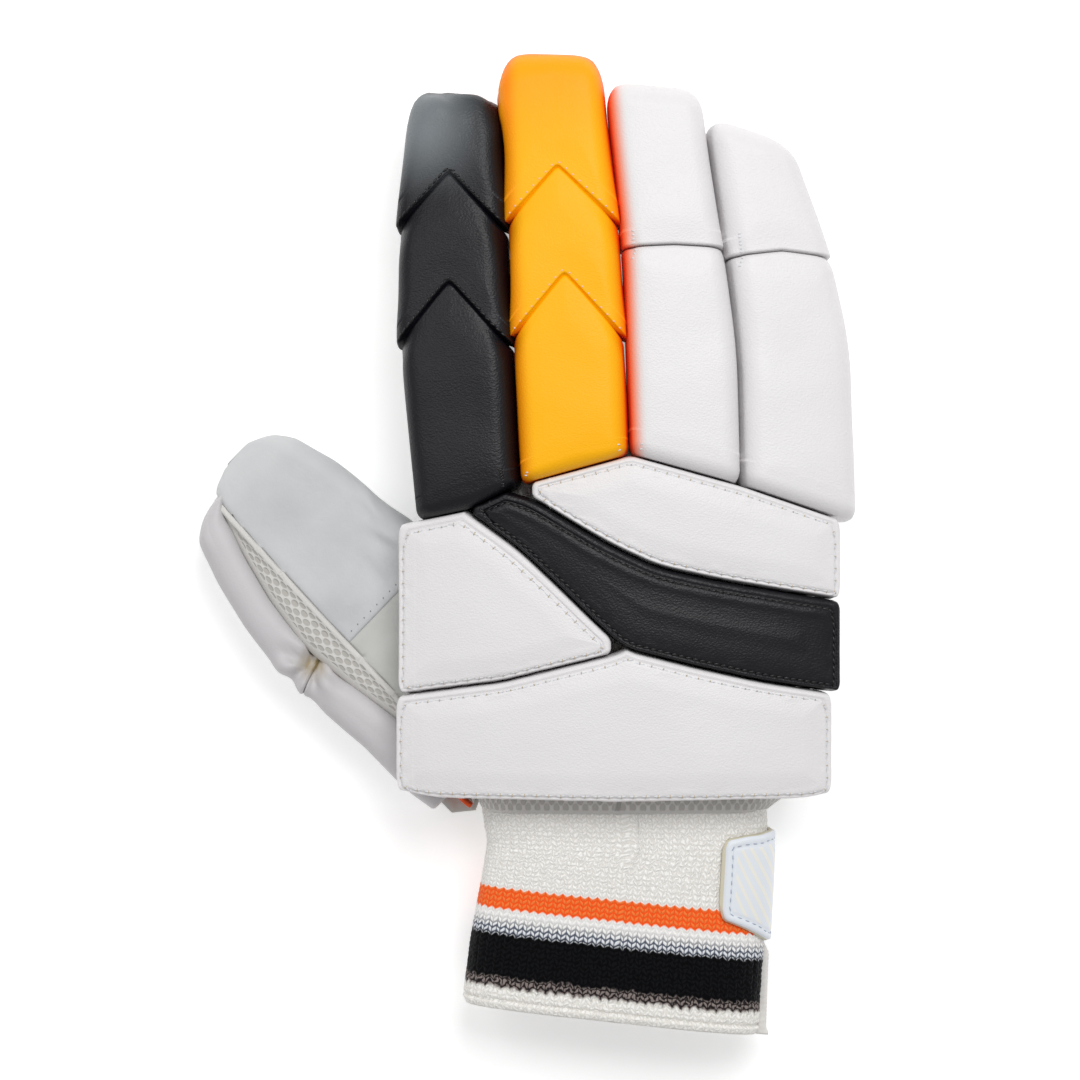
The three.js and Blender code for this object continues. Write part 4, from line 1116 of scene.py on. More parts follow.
# %% Sheets out of the bag
def sheet_of(source, layer_name, index, cuts=0):
    """One region of the cut bag as an open mesh of its own."""
    part = source.copy()
    region = part.faces.layers.int[layer_name]
    bmesh.ops.delete(part, geom=[f for f in part.faces if f[region] != index], context="FACES")
    if cuts:
        bmesh.ops.subdivide_edges(part, edges=part.edges[:], cuts=cuts, use_grid_fill=True)
    mesh = bpy.data.meshes.new("sheet")
    part.to_mesh(mesh)
    borders = [tuple(v.co / MM) for e in part.edges if e.is_boundary for v in e.verts]
    part.free()
    mesh.shade_smooth()
    return mesh, borders


SHELL_WALL = 1.35


def walled(name, mesh):
    """Gives a sheet its wall, inwards."""
    made = bpy.data.objects.new(name, mesh)
    scene.collection.objects.link(made)
    wall = made.modifiers.new("wall", "SOLIDIFY")
    wall.thickness, wall.offset, wall.use_quality_normals = SHELL_WALL * MM, -1, True
    result = modified(made)
    result.name = name
    result.shade_smooth()
    return result


def keep_cloth(mesh, side, length, height, middle):
    """Distances on the cloth: side and length in plan, and on down the sides with the height."""
    keep_value(mesh, "sideways", side - np.sign(side - middle) * height)
    keep_value(mesh, "lengthways", length)


THUMB_CREASES = [  # x and y of the middle, direction, height
    ((-68, 30), math.radians(-32), 0.8), ((-73, 39), math.radians(-62), 0.45),
    ((-69, 20), math.radians(-50), 0.4)]


def shell(name, region, material, slot, nodes, folds, fold_size, cuts=0, piped=0.0,
          stretch=(1, 1, 1)):
    """Cuts out a region, rounds its edges down into the seams and draws its folds."""
    mesh, borders = sheet_of(cut_bag, "region", REGIONS.index(region), cuts)
    points, normals = points_of(mesh), normals_of(mesh)
    border = distance_to(borders, points)
    move = -0.45 * bell(border, 0.7)
    if folds:
        move = move + folds * lumps(points * stretch, fold_size, 3) * ease(border / 6)
    if piped:
        move = move + piped * bell(border - 1.0, 0.75) - 0.7 * ease((border - 1.5) / 1.5)
    if region == "thumb":
        for (x, y), turn, size in THUMB_CREASES:
            along = (points[:, 0] - x) * math.cos(turn) + (points[:, 1] - y) * math.sin(turn)
            beside = (points[:, 1] - y) * math.cos(turn) - (points[:, 0] - x) * math.sin(turn)
            move = move + size * (bell(beside, 1.5) - bell(beside + 2.6, 1.8)) * bell(along, 6)
    points = points + normals * move[:, None]
    if region == "back":
        low = ease((wrist_y + 3.5 - points[:, 1]) / 3.5)
        points[:, 1] -= 2.6 * low
        points[:, 2] += np.where(points[:, 2] > palm_top + 4, 0.5 * low, 0.0)
    set_points(mesh, points)
    keep_value(mesh, "border", border)
    if region == "gusset":
        shares = np.array([thumb_share(s) for s in along_of(points)])
        beside_guard = THUMB_WIDTH * outer(shares) - across_of(points) - 1.0
        keep_value(mesh, "border", np.minimum(border, beside_guard))
        keep_cloth(mesh, across_of(points), along_of(points), points[:, 2], 0)
    else:
        keep_cloth(mesh, points[:, 0], points[:, 1], points[:, 2], 0)
    made = piece(walled(name, mesh), material, slot, nodes)
    print(name, len(made.data.polygons), "faces")
    return made


shell("palm_leather_shell", "palm", web_skin, "leather_pale", ["palm_leather"], 0.7, 13)
shell("back_mesh_shell", "back", back_fabric, "mesh_white", ["back_mesh"], 0.3, 18)
shell("web_leather_shell", "web", web_skin, "leather_pale", ["web_leather"], 1.1, 9, cuts=1,
      stretch=(1.0, 0.5, 1))
thumb_shell = shell("thumb_leather_shell", "thumb", thumb_skin, "leather_pale", ["thumb_leather"],
                    1.1, 15, cuts=1)
shell("thumb_gusset_strip", "gusset", strip_fabric, "mesh_white", ["thumb_gusset"], 0.0, 8,
      cuts=1, piped=0.75)

# %% [markdown]
# ## Finger stalls
# Each finger slides into a stall of leather in front and mesh at the sides and back. The stalls
# hang free of each other, so each is cut from its own closed form, in the same way as the bag.

# %% Finger stalls
for k, name in enumerate(FINGERS):
    bm = bmesh.new()
    bm.from_mesh(stalls[k])
    cut_along(bm, [((0, stall_seam, 0), (0, 1, 0)), ((0, 0, front_top), (0, 0, 1))])
    part_layer = bm.faces.layers.int.new("part")
    for face in bm.faces:
        _, y, z = face.calc_center_median() / MM
        face[part_layer] = 2 if y < stall_seam else int(z > front_top)
    for part, (kind, material, slot) in enumerate((("front", web_skin, "leather_pale"),
                                                   ("gusset", back_fabric, "mesh_white"))):
        mesh, borders = sheet_of(bm, "part", part)
        points, normals = points_of(mesh), normals_of(mesh)
        border = distance_to(borders, points)
        folds = 0.5 * lumps(points * (1, 1.3, 1), 8, k + 20) * ease(border / 4)
        set_points(mesh, points + normals * (folds - 0.4 * bell(border, 0.7))[:, None])
        keep_value(mesh, "border", border)
        keep_cloth(mesh, points[:, 0], points[:, 1], points[:, 2], points[:, 0].mean())
        piece(walled(f"{name}_{kind}_shell", mesh), material, slot, [f"{name}_{kind}"])
    bm.free()
print("finger stalls:", len(FINGERS))

# %% [markdown]
# ## The knitted cuff
# The cuff is a band knitted in rows of V-shaped stitches, with stripes of dyed yarn. A relief
# this regular is worked out from two lengths that each point keeps: how far it is round the cuff
# and how far down from the wrist. The same lengths choose the yarn's colour, so a stripe's edge
# steps from stitch to stitch as on real knitting. A column of stitches is 2.6 mm wide, a row
# 1.5 mm.

# %% Cuff tables
CUFF_LENGTH, CUFF_WIDTH, CUFF_DEPTH, CUFF_LIFT, KNIT_WALL = 63.5, 88.7, 30, 3.2, 2.8
CUFF_ROWS = [  # at, mouth, waist, lift, deep, slant
    (0, 0, 0, .3, .98, 0), (.1, .05, .5, 1, .93, .1), (.2, .1, 1, 1, .93, .3),
    (.45, .42, .9, 1, .93, .96), (.7, .75, .4, 1, .96, .98), (1, 1, 0, 1, 1, 1)]
mouth_of, waist_of, lift_of, deep_of, slant_of = (
    line([(row[0], row[k]) for row in CUFF_ROWS], 0.03) for k in range(1, 6))
CUFF_TOP = float(along_palm(0)) - 0.3
WAIST, CUFF_SLANT, CUFF_SQUARE, MOUTH_LEFT = 2.2, 0.109, 0.62, 0.523
SPLIT_END, SPLIT_GAP = 0.2, 3.4


def cuff_point(at, turn, out):
    """A point of the cuff; turn runs from the little finger's side over the back, in quarters."""
    at, turn, out = np.broadcast_arrays(*(np.asarray(v, float) for v in (at, turn, out)))
    blend = mouth_of(at)
    left = HALF_HAND * -.66 * (1 - blend) - MOUTH_LEFT * CUFF_WIDTH * blend
    left = left + waist_of(at) * WAIST - out
    right = HALF_HAND * .73 * (1 - blend) + (1 - MOUTH_LEFT) * CUFF_WIDTH * blend + out
    low = lift_of(at) * CUFF_LIFT - out
    high = lift_of(at) * CUFF_LIFT + deep_of(at) * CUFF_DEPTH + out
    angle = turn * math.pi / 2
    bulge = (lambda value: np.sign(value) * np.abs(value) ** CUFF_SQUARE)
    from_middle = (right - left) / 2 * bulge(np.cos(angle))
    z = (low + high) / 2 + (high - low) / 2 * bulge(np.sin(angle))
    y = CUFF_TOP - at * CUFF_LENGTH - slant_of(at) * CUFF_SLANT * from_middle
    return np.stack([(left + right) / 2 + from_middle, y, z], -1)


split_height = float(cuff_point(0.6, 0, 0)[2])
print("the split is", round(split_height, 1), "mm over the floor")
WALE, COURSE = 2.6, 1.5  # a column and a row of stitches, in mm


def knit_relief(around, down):
    """Height of the knitting, from 0 to 1: V-shaped stitches in columns."""
    column = np.abs(np.mod(around / WALE, 1) - 0.5) * 2
    leg = 0.5 + 0.5 * np.cos(2 * math.pi * (down / COURSE - 0.42 * column))
    round_leg = 0.45 + 0.55 * np.sqrt(np.maximum(0, 1 - column ** 2))
    return 0.62 * leg * round_leg + 0.38 * (1 - column ** 4)


# %% Cuff
AROUND_COUNT, ROW_COUNT = 470, 128  # points round the cuff and rows of them: about 4 a stitch
RELIEF = 0.38  # height of a stitch, in mm
HEM = 2.6  # from the cuff's mouth to the seam of its hem


def even_turns(count):
    """Turns that lie at even distances round the cuff, with how far round each is in mm."""
    fine = np.linspace(0.02, 3.98, 40001)
    ring = cuff_point(0.6, fine, 0)
    length = np.concatenate([[0], np.cumsum(np.linalg.norm(np.diff(ring, axis=0), axis=1))])
    even = np.linspace(0, length[-1], count)
    return np.interp(even, length, fine), even


def cuff_mesh():
    turns, around = even_turns(AROUND_COUNT)
    middle = math.asin((SPLIT_GAP / CUFF_DEPTH) ** (1 / CUFF_SQUARE)) / (math.pi / 2)
    outside, inside, values, inner_values = [], [], [], []
    for at in np.linspace(0, 1, ROW_COUNT):
        gap = middle * float(ease((at - SPLIT_END) / 0.1))
        turn = gap + (turns - 0.02) / 3.96 * (4 - 2 * gap)
        base = cuff_point(at, turn, 0)
        step = cuff_point(at, turn, 1) - base
        way = step / np.maximum(np.linalg.norm(step, axis=1, keepdims=True), 1e-6)
        down = np.full_like(around, at * CUFF_LENGTH)
        wander = lumps(np.stack([around, down, np.full_like(down, 3.0)], -1), 2.0, 5)
        broad = lumps(base * (1, 0.55, 1), 15, 6)
        loose = 0.45 if 0.42 < at < 0.65 else 1
        high = knit_relief(around, down) * RELIEF
        hem = -0.9 * float(bell((1 - at) * CUFF_LENGTH - HEM, 0.5))
        fit = ease(at / 0.06) * ease((1 - at) / 0.02)
        mouth = -0.8 * (1 - ease((1 - at) / 0.025))
        out = -0.4 + fit * high + 0.22 * wander * loose + 0.6 * broad + hem + mouth
        outside.append(base + way * out[:, None])
        inside.append(cuff_point(at, turn, -KNIT_WALL + 0.3)[::-3])
        values.append(np.stack([around, down], -1))
        inner_values.append(np.stack([around, down], -1)[::-3])
    rings = [np.concatenate([o, i]) for o, i in zip(outside, inside)]
    mesh = ring_mesh("knit_cuff_band", rings, caps=False)
    facts = np.concatenate([np.concatenate([v, w]) for v, w in zip(values, inner_values)])
    bm = bmesh.new()
    bm.from_mesh(mesh)
    bm.verts.ensure_lookup_table()
    size, wide = len(rings[0]), len(outside[0])
    picks = np.linspace(wide - 1, 0, size - wide).astype(int)
    for row, flip in ((0, False), (len(rings) - 1, True)):
        start = row * size
        inner_loop = [start + wide + k for k in range(size - wide)]
        for k in range(len(inner_loop) - 1):
            outs = [start + j for j in range(picks[k], picks[k + 1] - 1, -1)]
            loop = outs + [inner_loop[k + 1], inner_loop[k]]
            corners = [bm.verts[j] for j in (loop if flip else loop[::-1])]
            bm.faces.new(corners)
    bmesh.ops.recalc_face_normals(bm, faces=bm.faces)
    bm.to_mesh(mesh)
    bm.free()
    mesh.shade_smooth()
    keep_value(mesh, "around", facts[:, 0])
    keep_value(mesh, "down", facts[:, 1])
    return mesh


# %% [markdown]
# ## Dyed yarn
# The yarn is matt acrylic, with a little fuzz. Its legs lean like those of the relief, so the same
# columns and rows decide where a leg's crest is and where the hollow beside it. Two colour ramps,
# one for crests and one for hollows, give the stripes, because real stripes mix at their edges:
# a hollow shows the yarn of the row below. The hollows' colours are also darker than the crests',
# as painted shade between the stitches.

# %% Dyed yarn
def yarn_ramp(rows):
    """Colours down the cuff. Each row is where a colour starts and where it ends, in mm."""
    ramp = node(tree, "ShaderNodeValToRGB", {"Fac": share})
    stops = ramp.color_ramp.elements
    while len(stops) < 2 * len(rows):
        stops.new(0.5)
    ends = [(at, code) for first, last, code in rows for at in (first, last)]
    for stop, (at, code) in zip(stops, ends):
        stop.position, stop.color = at / CUFF_LENGTH, linear(code)
    return ramp.outputs["Color"]


yarn, tree = new_material("acrylic_yarn_dyed_painted_shade")
place = node(tree, "ShaderNodeTexCoord").outputs["Object"]
around = node(tree, "ShaderNodeAttribute", attribute_name="around").outputs["Fac"]
down = node(tree, "ShaderNodeAttribute", attribute_name="down").outputs["Fac"]
flat_place = node(tree, "ShaderNodeCombineXYZ", {"X": around, "Y": down})
tangle = node(tree, "ShaderNodeTexNoise", {"Vector": flat_place, "Scale": 0.62, "Detail": 1})
from_orange = node(tree, "ShaderNodeMath", {0: down, 1: 34}, operation="SUBTRACT")
off_stripes = node(tree, "ShaderNodeMath", {0: from_orange}, operation="ABSOLUTE")
loose = node(tree, "ShaderNodeMapRange", {"Value": off_stripes, "From Min": 6.5, "From Max": 10,
                                          "To Min": 0.45, "To Max": 2.0})
sideways = node(tree, "ShaderNodeSeparateColor", {"Color": tangle.outputs["Color"]})
moved = []
for value, drift in ((around, sideways.outputs[0]), (down, sideways.outputs[1])):
    centred = node(tree, "ShaderNodeMath", {0: drift, 1: 0.5}, operation="SUBTRACT")
    moved.append(node(tree, "ShaderNodeMath", {0: centred, 1: loose, 2: value},
                      operation="MULTIPLY_ADD").outputs[0])
column = node(tree, "ShaderNodeMath", {0: moved[0], 1: WALE / 2}, operation="PINGPONG")
leg_way = node(tree, "ShaderNodeMath", {0: column, 1: -0.85, 2: moved[1]},
               operation="MULTIPLY_ADD")
row = node(tree, "ShaderNodeMath", {0: leg_way, 1: COURSE / 2}, operation="PINGPONG")
leg = node(tree, "ShaderNodeMapRange", {"Value": row, "From Min": 0.1, "From Max": COURSE / 2},
           interpolation_type="SMOOTHSTEP")
middle = node(tree, "ShaderNodeMath", {0: column, 1: WALE / 4}, operation="PINGPONG")
plait = node(tree, "ShaderNodeMapRange", {"Value": middle, "From Max": WALE / 6},
             interpolation_type="SMOOTHSTEP")
stitch = node(tree, "ShaderNodeMath", {0: leg, 1: plait},
              operation="MULTIPLY")
scallop = node(tree, "ShaderNodeMath", {0: column, 1: -0.6, 2: moved[1]},
               operation="MULTIPLY_ADD")
share = node(tree, "ShaderNodeMath", {0: scallop, 1: CUFF_LENGTH}, operation="DIVIDE")
crests = yarn_ramp([(0, 27.5, "#fffefb"), (27.8, 33.6, "#ff8440"), (33.9, 37.5, "#fffefc"),
                    (40.0, 40.9, "#e6e9ee"), (41.4, 53.3, "#0f1013"), (53.8, 56.4, "#8d827e"),
                    (56.8, 63.4, "#fffdf9")])
# Hollows show the yarn of the row below, and are darker than the crests as painted shade between
# the stitches.
hollows = yarn_ramp([(0, 27.5, "#e9e6e0"), (27.8, 33.6, "#ff5a1e"), (33.9, 35.6, "#efedea"),
                     (38.8, 40.4, "#565d6c"), (41.0, 53.3, "#030305"), (53.7, 56.0, "#231e1f"),
                     (57.2, 63.4, "#e9e6df")])
height = node(tree, "ShaderNodeMapRange", {"Value": stitch, "From Min": 0.02, "From Max": 0.42})
dyed = node(tree, "ShaderNodeMix", {"Factor": height, "A": hollows, "B": crests},
            data_type="RGBA")
fuzz = node(tree, "ShaderNodeTexNoise", {"Vector": place, "Scale": cells_of(0.5), "Detail": 2})
shade = node(tree, "ShaderNodeMapRange", {"Value": fuzz, "From Min": 0.3, "From Max": 0.75,
                                          "To Min": 0.9, "To Max": 1.05})
toned = node(tree, "ShaderNodeVectorMath", {0: dyed.outputs["Result"], "Scale": shade},
             operation="SCALE")
relief = node(tree, "ShaderNodeMath", {0: fuzz, 1: 0.45, 2: stitch},
              operation="MULTIPLY_ADD")
bump = node(tree, "ShaderNodeBump", {"Height": relief, "Strength": 0.55, "Distance": 0.4 * MM})
wool = node(tree, "ShaderNodeBsdfPrincipled", {
    "Base Color": toned, "Roughness": 0.95, "Sheen Weight": 0.06,
    "Sheen Roughness": 0.5, "Specular IOR Level": 0.1, "Normal": bump})
node(tree, "ShaderNodeOutputMaterial", {"Surface": wool})

cuff = piece(cuff_mesh(), yarn, "knit", ["knit_cuff"])
print("cuff:", len(cuff.data.polygons), "faces")

# %% [markdown]
# ## Closing tab, binding and piping
# The cuff is split on the little finger's side. A tab of coated leather closes it, a woven tape
# binds the edge of the split, and a short orange tape trims the heel of the thumb. The tab is cut
# from one flat sheet and laid round the cuff, and its cut size is shown in the output.

# %% Tab
TAB_START, TAB_LENGTH = 0.11, 29
TAB_STITCH = 2.4  # from the tab's edge to its row of stitches
TAB_ROWS = [(.665, .2, .66), (.65, .1, .78), (.625, .07, .82), (.5, .04, .87), (.375, .03, .92),
            (.25, .01, .97), (.125, 0, 1), (-.75, 0, 1), (-.82, .03, .97)]
tab_from, tab_to = (line(sorted((row[0], row[k]) for row in TAB_ROWS), 0.012) for k in (1, 2))


def tab_at(share):
    return TAB_START + np.asarray(share) * TAB_LENGTH / CUFF_LENGTH


def tab_mesh():
    turns = np.concatenate([np.linspace(.664, .6, 16), np.linspace(.6, -.76, 150)[1:],
                            np.linspace(-.76, -.82, 8)[1:]])
    rings, values = [], []
    path = cuff_point(tab_at(0.5), turns, 1.5)
    run = np.concatenate([[0], np.cumsum(np.linalg.norm(np.diff(path, axis=0), axis=1))])
    v = np.linspace(0, 1, 46)
    for turn, ahead in zip(turns, run):
        low, high = float(tab_from(turn)), float(tab_to(turn))
        share = low + (high - low) * v
        wide = (high - low) * TAB_LENGTH
        edge = np.minimum(np.minimum(v, 1 - v) * wide, min(ahead, run[-1] - ahead))
        bulge = 0.4 + 1.55 * np.sqrt(ease(edge / 0.9))
        stitch = -0.3 * bell(edge - 2.6, 0.4)
        on_tab = np.stack([share * 30, np.full_like(share, ahead), share * 0], -1)
        wave = 0.35 * lumps(on_tab, 12, 31)
        top = cuff_point(tab_at(share), turn, bulge + stitch + wave * ease(edge / 3) + 0.25)
        under = cuff_point(tab_at(share[::-1]), turn, 0.3)
        rings.append(np.concatenate([top, under[1:-1]]))
        facts = np.stack([edge, np.full_like(edge, ahead), share * TAB_LENGTH], -1)
        values.append(np.concatenate([facts, 0 * facts[1:-1]]))
    mesh = ring_mesh("closure_tab_cover", rings, caps=False)
    bm = bmesh.new()
    bm.from_mesh(mesh)
    bmesh.ops.holes_fill(bm, edges=[e for e in bm.edges if e.is_boundary])
    bmesh.ops.recalc_face_normals(bm, faces=bm.faces)
    bm.to_mesh(mesh)
    bm.free()
    mesh.shade_smooth()
    facts = np.concatenate(values)
    for k, name in enumerate(("edge", "ahead", "across")):
        keep_value(mesh, name, facts[:, k])
    return mesh, run[-1]


tab_leather, tree = new_material("coated_leather_tab")
place = node(tree, "ShaderNodeTexCoord").outputs["Object"]
edge = node(tree, "ShaderNodeAttribute", attribute_name="edge").outputs["Fac"]
ahead = node(tree, "ShaderNodeAttribute", attribute_name="ahead").outputs["Fac"]
across = node(tree, "ShaderNodeAttribute", attribute_name="across").outputs["Fac"]
curve = node(tree, "ShaderNodeMath", {0: ahead, 1: ahead}, operation="MULTIPLY")
bend = node(tree, "ShaderNodeMath", {0: curve, 1: 0.03, 2: across}, operation="MULTIPLY_ADD")
slanted = node(tree, "ShaderNodeMath", {0: ahead, 1: -1.9, 2: bend},
               operation="MULTIPLY_ADD")
bands = node(tree, "ShaderNodeMath", {0: slanted, 1: 4.6}, operation="DIVIDE")
band = node(tree, "ShaderNodeMath", {0: bands}, operation="FRACT")
stripe = node(tree, "ShaderNodeMath", {0: band, 1: 0.36}, operation="LESS_THAN")
framed = node(tree, "ShaderNodeMath", {0: edge, 1: 3.4}, operation="GREATER_THAN")
second_tone = node(tree, "ShaderNodeMath", {0: stripe, 1: framed},
               operation="MULTIPLY")
tone = node(tree, "ShaderNodeMix", {"Factor": second_tone, "A": linear("#e4e9f0"),
                                    "B": linear("#efede3")}, data_type="RGBA")
rim = node(tree, "ShaderNodeMath", {0: edge, 1: 0.35}, operation="LESS_THAN")
cut_edge = node(tree, "ShaderNodeMix", {"Factor": rim, "A": tone.outputs["Result"],
                                        "B": linear("#d8d2bb")}, data_type="RGBA")
grain = node(tree, "ShaderNodeTexNoise", {"Vector": place, "Scale": cells_of(0.6), "Detail": 3})
raised = node(tree, "ShaderNodeMath", {0: second_tone, 1: 1.2, 2: grain},
              operation="MULTIPLY_ADD")
bump = node(tree, "ShaderNodeBump", {"Height": raised, "Strength": 0.25, "Distance": 0.2 * MM})
skin = node(tree, "ShaderNodeBsdfPrincipled", {
    "Base Color": cut_edge.outputs["Result"], "Roughness": 0.42, "Normal": bump})
node(tree, "ShaderNodeOutputMaterial", {"Surface": skin})

mesh, tab_run = tab_mesh()
tab = piece(mesh, tab_leather, "tab_white", ["closure_tab"])
print("tab cut:", TAB_LENGTH, "x", round(float(tab_run), 1), "mm")

# %% Binding tape
BINDING_ROWS = [(SPLIT_END, -.3), (float(tab_at(1)), -.3), (float(tab_at(1.04)), .15),
                (float(tab_at(1.13)), 1), (.85, 1), (1.01, 1)]
proud_of = line(BINDING_ROWS, 0.01)


def binding_mesh():
    rings = []
    for at in np.linspace(SPLIT_END + 0.01, 1.008, 90):
        flare = 1 + 0.35 * float(ease((at - 0.97) / 0.03))
        out = float(proud_of(at)) * 1.9 * flare
        half = (SPLIT_GAP / 2 - 0.35)
        turn = np.linspace(-math.pi / 2, math.pi / 2, 11)
        outwards = np.concatenate([[-KNIT_WALL], out - half + half * np.cos(turn), [-KNIT_WALL]])
        heights = np.concatenate([[-half], half * np.sin(turn), [half]])
        ribs = 0.1 * math.cos(at * CUFF_LENGTH * 2 * math.pi / 1.1)
        ring = cuff_point(at, 0.0, outwards + ribs)
        ring[:, 2] = split_height + heights
        rings.append(ring)
    return ring_mesh("split_binding_tape", rings)


def woven_tape(name, colour, shadow):
    material, tree = new_material(name)
    place = node(tree, "ShaderNodeTexCoord").outputs["Object"]
    ribs = node(tree, "ShaderNodeTexWave", {
        "Vector": place, "Scale": cells_of(6), "Distortion": 1.0}, bands_direction="Y")
    fuzz = node(tree, "ShaderNodeTexNoise", {"Vector": place, "Scale": cells_of(0.5), "Detail": 3})
    both = node(tree, "ShaderNodeMath", {0: ribs.outputs["Fac"], 1: fuzz},
                operation="ADD")
    bump = node(tree, "ShaderNodeBump", {"Height": both, "Strength": 0.4,
                                         "Distance": 0.2 * MM})
    tone = node(tree, "ShaderNodeMix", {"Factor": fuzz, "A": linear(colour),
                                        "B": linear(shadow)}, data_type="RGBA")
    cloth = node(tree, "ShaderNodeBsdfPrincipled", {
        "Base Color": tone.outputs["Result"], "Roughness": 0.85, "Normal": bump})
    node(tree, "ShaderNodeOutputMaterial", {"Surface": cloth})
    return material


binding = piece(binding_mesh(), woven_tape("woven_tape_white", "#efedea", "#d9d6d0"),
                "tab_white", ["split_binding"])
print("binding:", len(binding.data.polygons), "faces")

# %% Orange tape at the heel of the thumb
PIPING_LENGTH = 7


def piping_mesh():
    end = thumb_length(GUARD_START) - 0.3
    t = THUMB_WIDTH * float(outer(GUARD_START)) + SEAT + GUARD_THICKNESS / 4
    turn = np.linspace(0, 2 * math.pi, 17)[:-1]
    square = (lambda value: np.sign(value) * np.abs(value) ** 0.45)
    rings = []
    for k in np.linspace(0, 1, 24):
        s = end - PIPING_LENGTH * k
        z = FLOOR_GAP + GUARD_HEIGHT / 2 + (4.4 - 0.3 * math.cos(6 * k)) * square(np.sin(turn))
        rings.append(thumb_place(s, t + 0.75 * square(np.cos(turn)) + 0.3 * math.sin(3 * k), z))
    return ring_mesh("wrist_piping_tape", rings)


piping = piece(piping_mesh(), woven_tape("woven_tape_orange", "#ff6a35", "#e4501f"),
               "orange_trim", ["wrist_piping"])
print("orange tape:", len(piping.data.polygons), "faces")

# %% [markdown]
# ## The flap at the heel
# Under the orange tape a tongue of the palm's thin leather sticks out. It is flat and has no seam,
# so its outline is drawn once and stacked in six layers that shrink towards a soft edge.

# %% Leather flap under the orange tape
FLAP = [(-57.5, -45.5), (-49.8, -53.4), (-42.6, -52.6), (-41.5, -49.5), (-46, -45)]
flap_outline = resampled(np.array(FLAP + FLAP[:1]), 0.7)[:-1]
flap_rings = []
for share, z in ((0.9, 4.4), (0.985, 4.7), (1.0, 5.4), (0.985, 6.1), (0.9, 6.4), (0.5, 6.9)):
    shrunk = flap_outline.mean(0) + (flap_outline - flap_outline.mean(0)) * share
    lift = 0.35 * np.sin(shrunk[:, 0] * 0.7)
    flap_rings.append(np.column_stack([shrunk, z + lift]))
piece(ring_mesh("heel_flap", flap_rings), web_skin, "leather_pale")
print("heel flap:", len(flap_outline), "points round")

# %% [markdown]
# ## Stitches
# A stitch is a short length of thread between two holes. There are hundreds of them, all alike,
# so a small Geometry Nodes tree lays them: it walks along each seam line in even steps, puts a
# short capsule at each step, turns it along the line and gives it the thread's material.

# %% Stitch tree
def stitch_tree():
    tree = bpy.data.node_groups.new("lay_stitches", "GeometryNodeTree")
    face = tree.interface
    face.new_socket("Seams", in_out="INPUT", socket_type="NodeSocketGeometry")
    for label, value in (("Spacing", 0.0035), ("Length", 0.0024), ("Width", 0.0005),
                         ("Turn", 0.0), ("Unevenness", 0.1)):
        socket = face.new_socket(label, in_out="INPUT", socket_type="NodeSocketFloat")
        socket.default_value = value
    face.new_socket("Thread", in_out="INPUT", socket_type="NodeSocketMaterial")
    face.new_socket("Stitches", in_out="OUTPUT", socket_type="NodeSocketGeometry")
    entry, end = node(tree, "NodeGroupInput"), node(tree, "NodeGroupOutput")
    steps = node(tree, "GeometryNodeResampleCurve", {
        "Curve": entry.outputs["Seams"], "Length": entry.outputs["Spacing"]}, mode="LENGTH")
    way = node(tree, "GeometryNodeInputTangent")
    facing = node(tree, "FunctionNodeAlignRotationToVector", {"Vector": way}, axis="X")
    uneven = node(tree, "FunctionNodeRandomValue", {"Seed": 11}, data_type="FLOAT")
    swing = node(tree, "ShaderNodeMath", {0: uneven.outputs[1], 1: entry.outputs["Unevenness"],
                                          2: entry.outputs["Turn"]}, operation="MULTIPLY_ADD")
    spin = node(tree, "ShaderNodeCombineXYZ", {"Z": swing})
    turned = node(tree, "FunctionNodeRotateRotation", {"Rotation": facing,
                                                       "Rotate By": spin})
    turned.rotation_space = "LOCAL"
    capsule = node(tree, "GeometryNodeMeshUVSphere", {"Segments": 6, "Rings": 4, "Radius": 0.5})
    size = node(tree, "ShaderNodeCombineXYZ", {
        "X": entry.outputs["Length"], "Y": entry.outputs["Width"], "Z": entry.outputs["Width"]})
    laid = node(tree, "GeometryNodeInstanceOnPoints", {
        "Points": steps, "Instance": capsule,
        "Rotation": turned, "Scale": size})
    real = node(tree, "GeometryNodeRealizeInstances", {"Geometry": laid})
    dressed = node(tree, "GeometryNodeSetMaterial", {"Geometry": real,
                                                     "Material": entry.outputs["Thread"]})
    tree.links.new(dressed.outputs["Geometry"], end.inputs["Stitches"])
    return tree


stitch_group = stitch_tree()
print("stitch tree:", len(stitch_group.nodes), "nodes")


def thread(name, colour, roughness=0.6):
    material, tree = new_material(name)
    place = node(tree, "ShaderNodeTexCoord").outputs["Object"]
    twist = node(tree, "ShaderNodeTexNoise", {"Vector": place, "Scale": cells_of(0.3)})
    bump = node(tree, "ShaderNodeBump", {"Height": twist, "Strength": 0.5,
                                         "Distance": 0.1 * MM})
    strand = node(tree, "ShaderNodeBsdfPrincipled", {
        "Base Color": linear(colour), "Roughness": roughness, "Normal": bump})
    node(tree, "ShaderNodeOutputMaterial", {"Surface": strand})
    return material


def stitches(name, seams, material, slot, spacing, length, width, turn, unevenness):
    """Lays stitches along seam lines, given as points in mm, and makes them a plain mesh."""
    curve = bpy.data.curves.new(name, "CURVE")
    curve.dimensions = "3D"
    for path in seams:
        spline = curve.splines.new("POLY")
        spline.points.add(len(path) - 1)
        four = np.column_stack([np.asarray(path) * MM, np.ones(len(path))])
        spline.points.foreach_set("co", four.ravel())
    made = bpy.data.objects.new(name, curve)
    scene.collection.objects.link(made)
    step = made.modifiers.new("stitches", "NODES")
    step.node_group = stitch_group
    values = {"Spacing": spacing * MM, "Length": length * MM, "Width": width * MM, "Turn": turn,
              "Unevenness": unevenness, "Thread": material}
    for item in stitch_group.interface.items_tree:
        if item.name in values:
            step[item.identifier] = values[item.name]
    mesh = modified(made)
    mesh.name = name
    mesh.shade_smooth()
    piece(mesh, material, slot)
    print(name, "faces:", len(mesh.polygons))


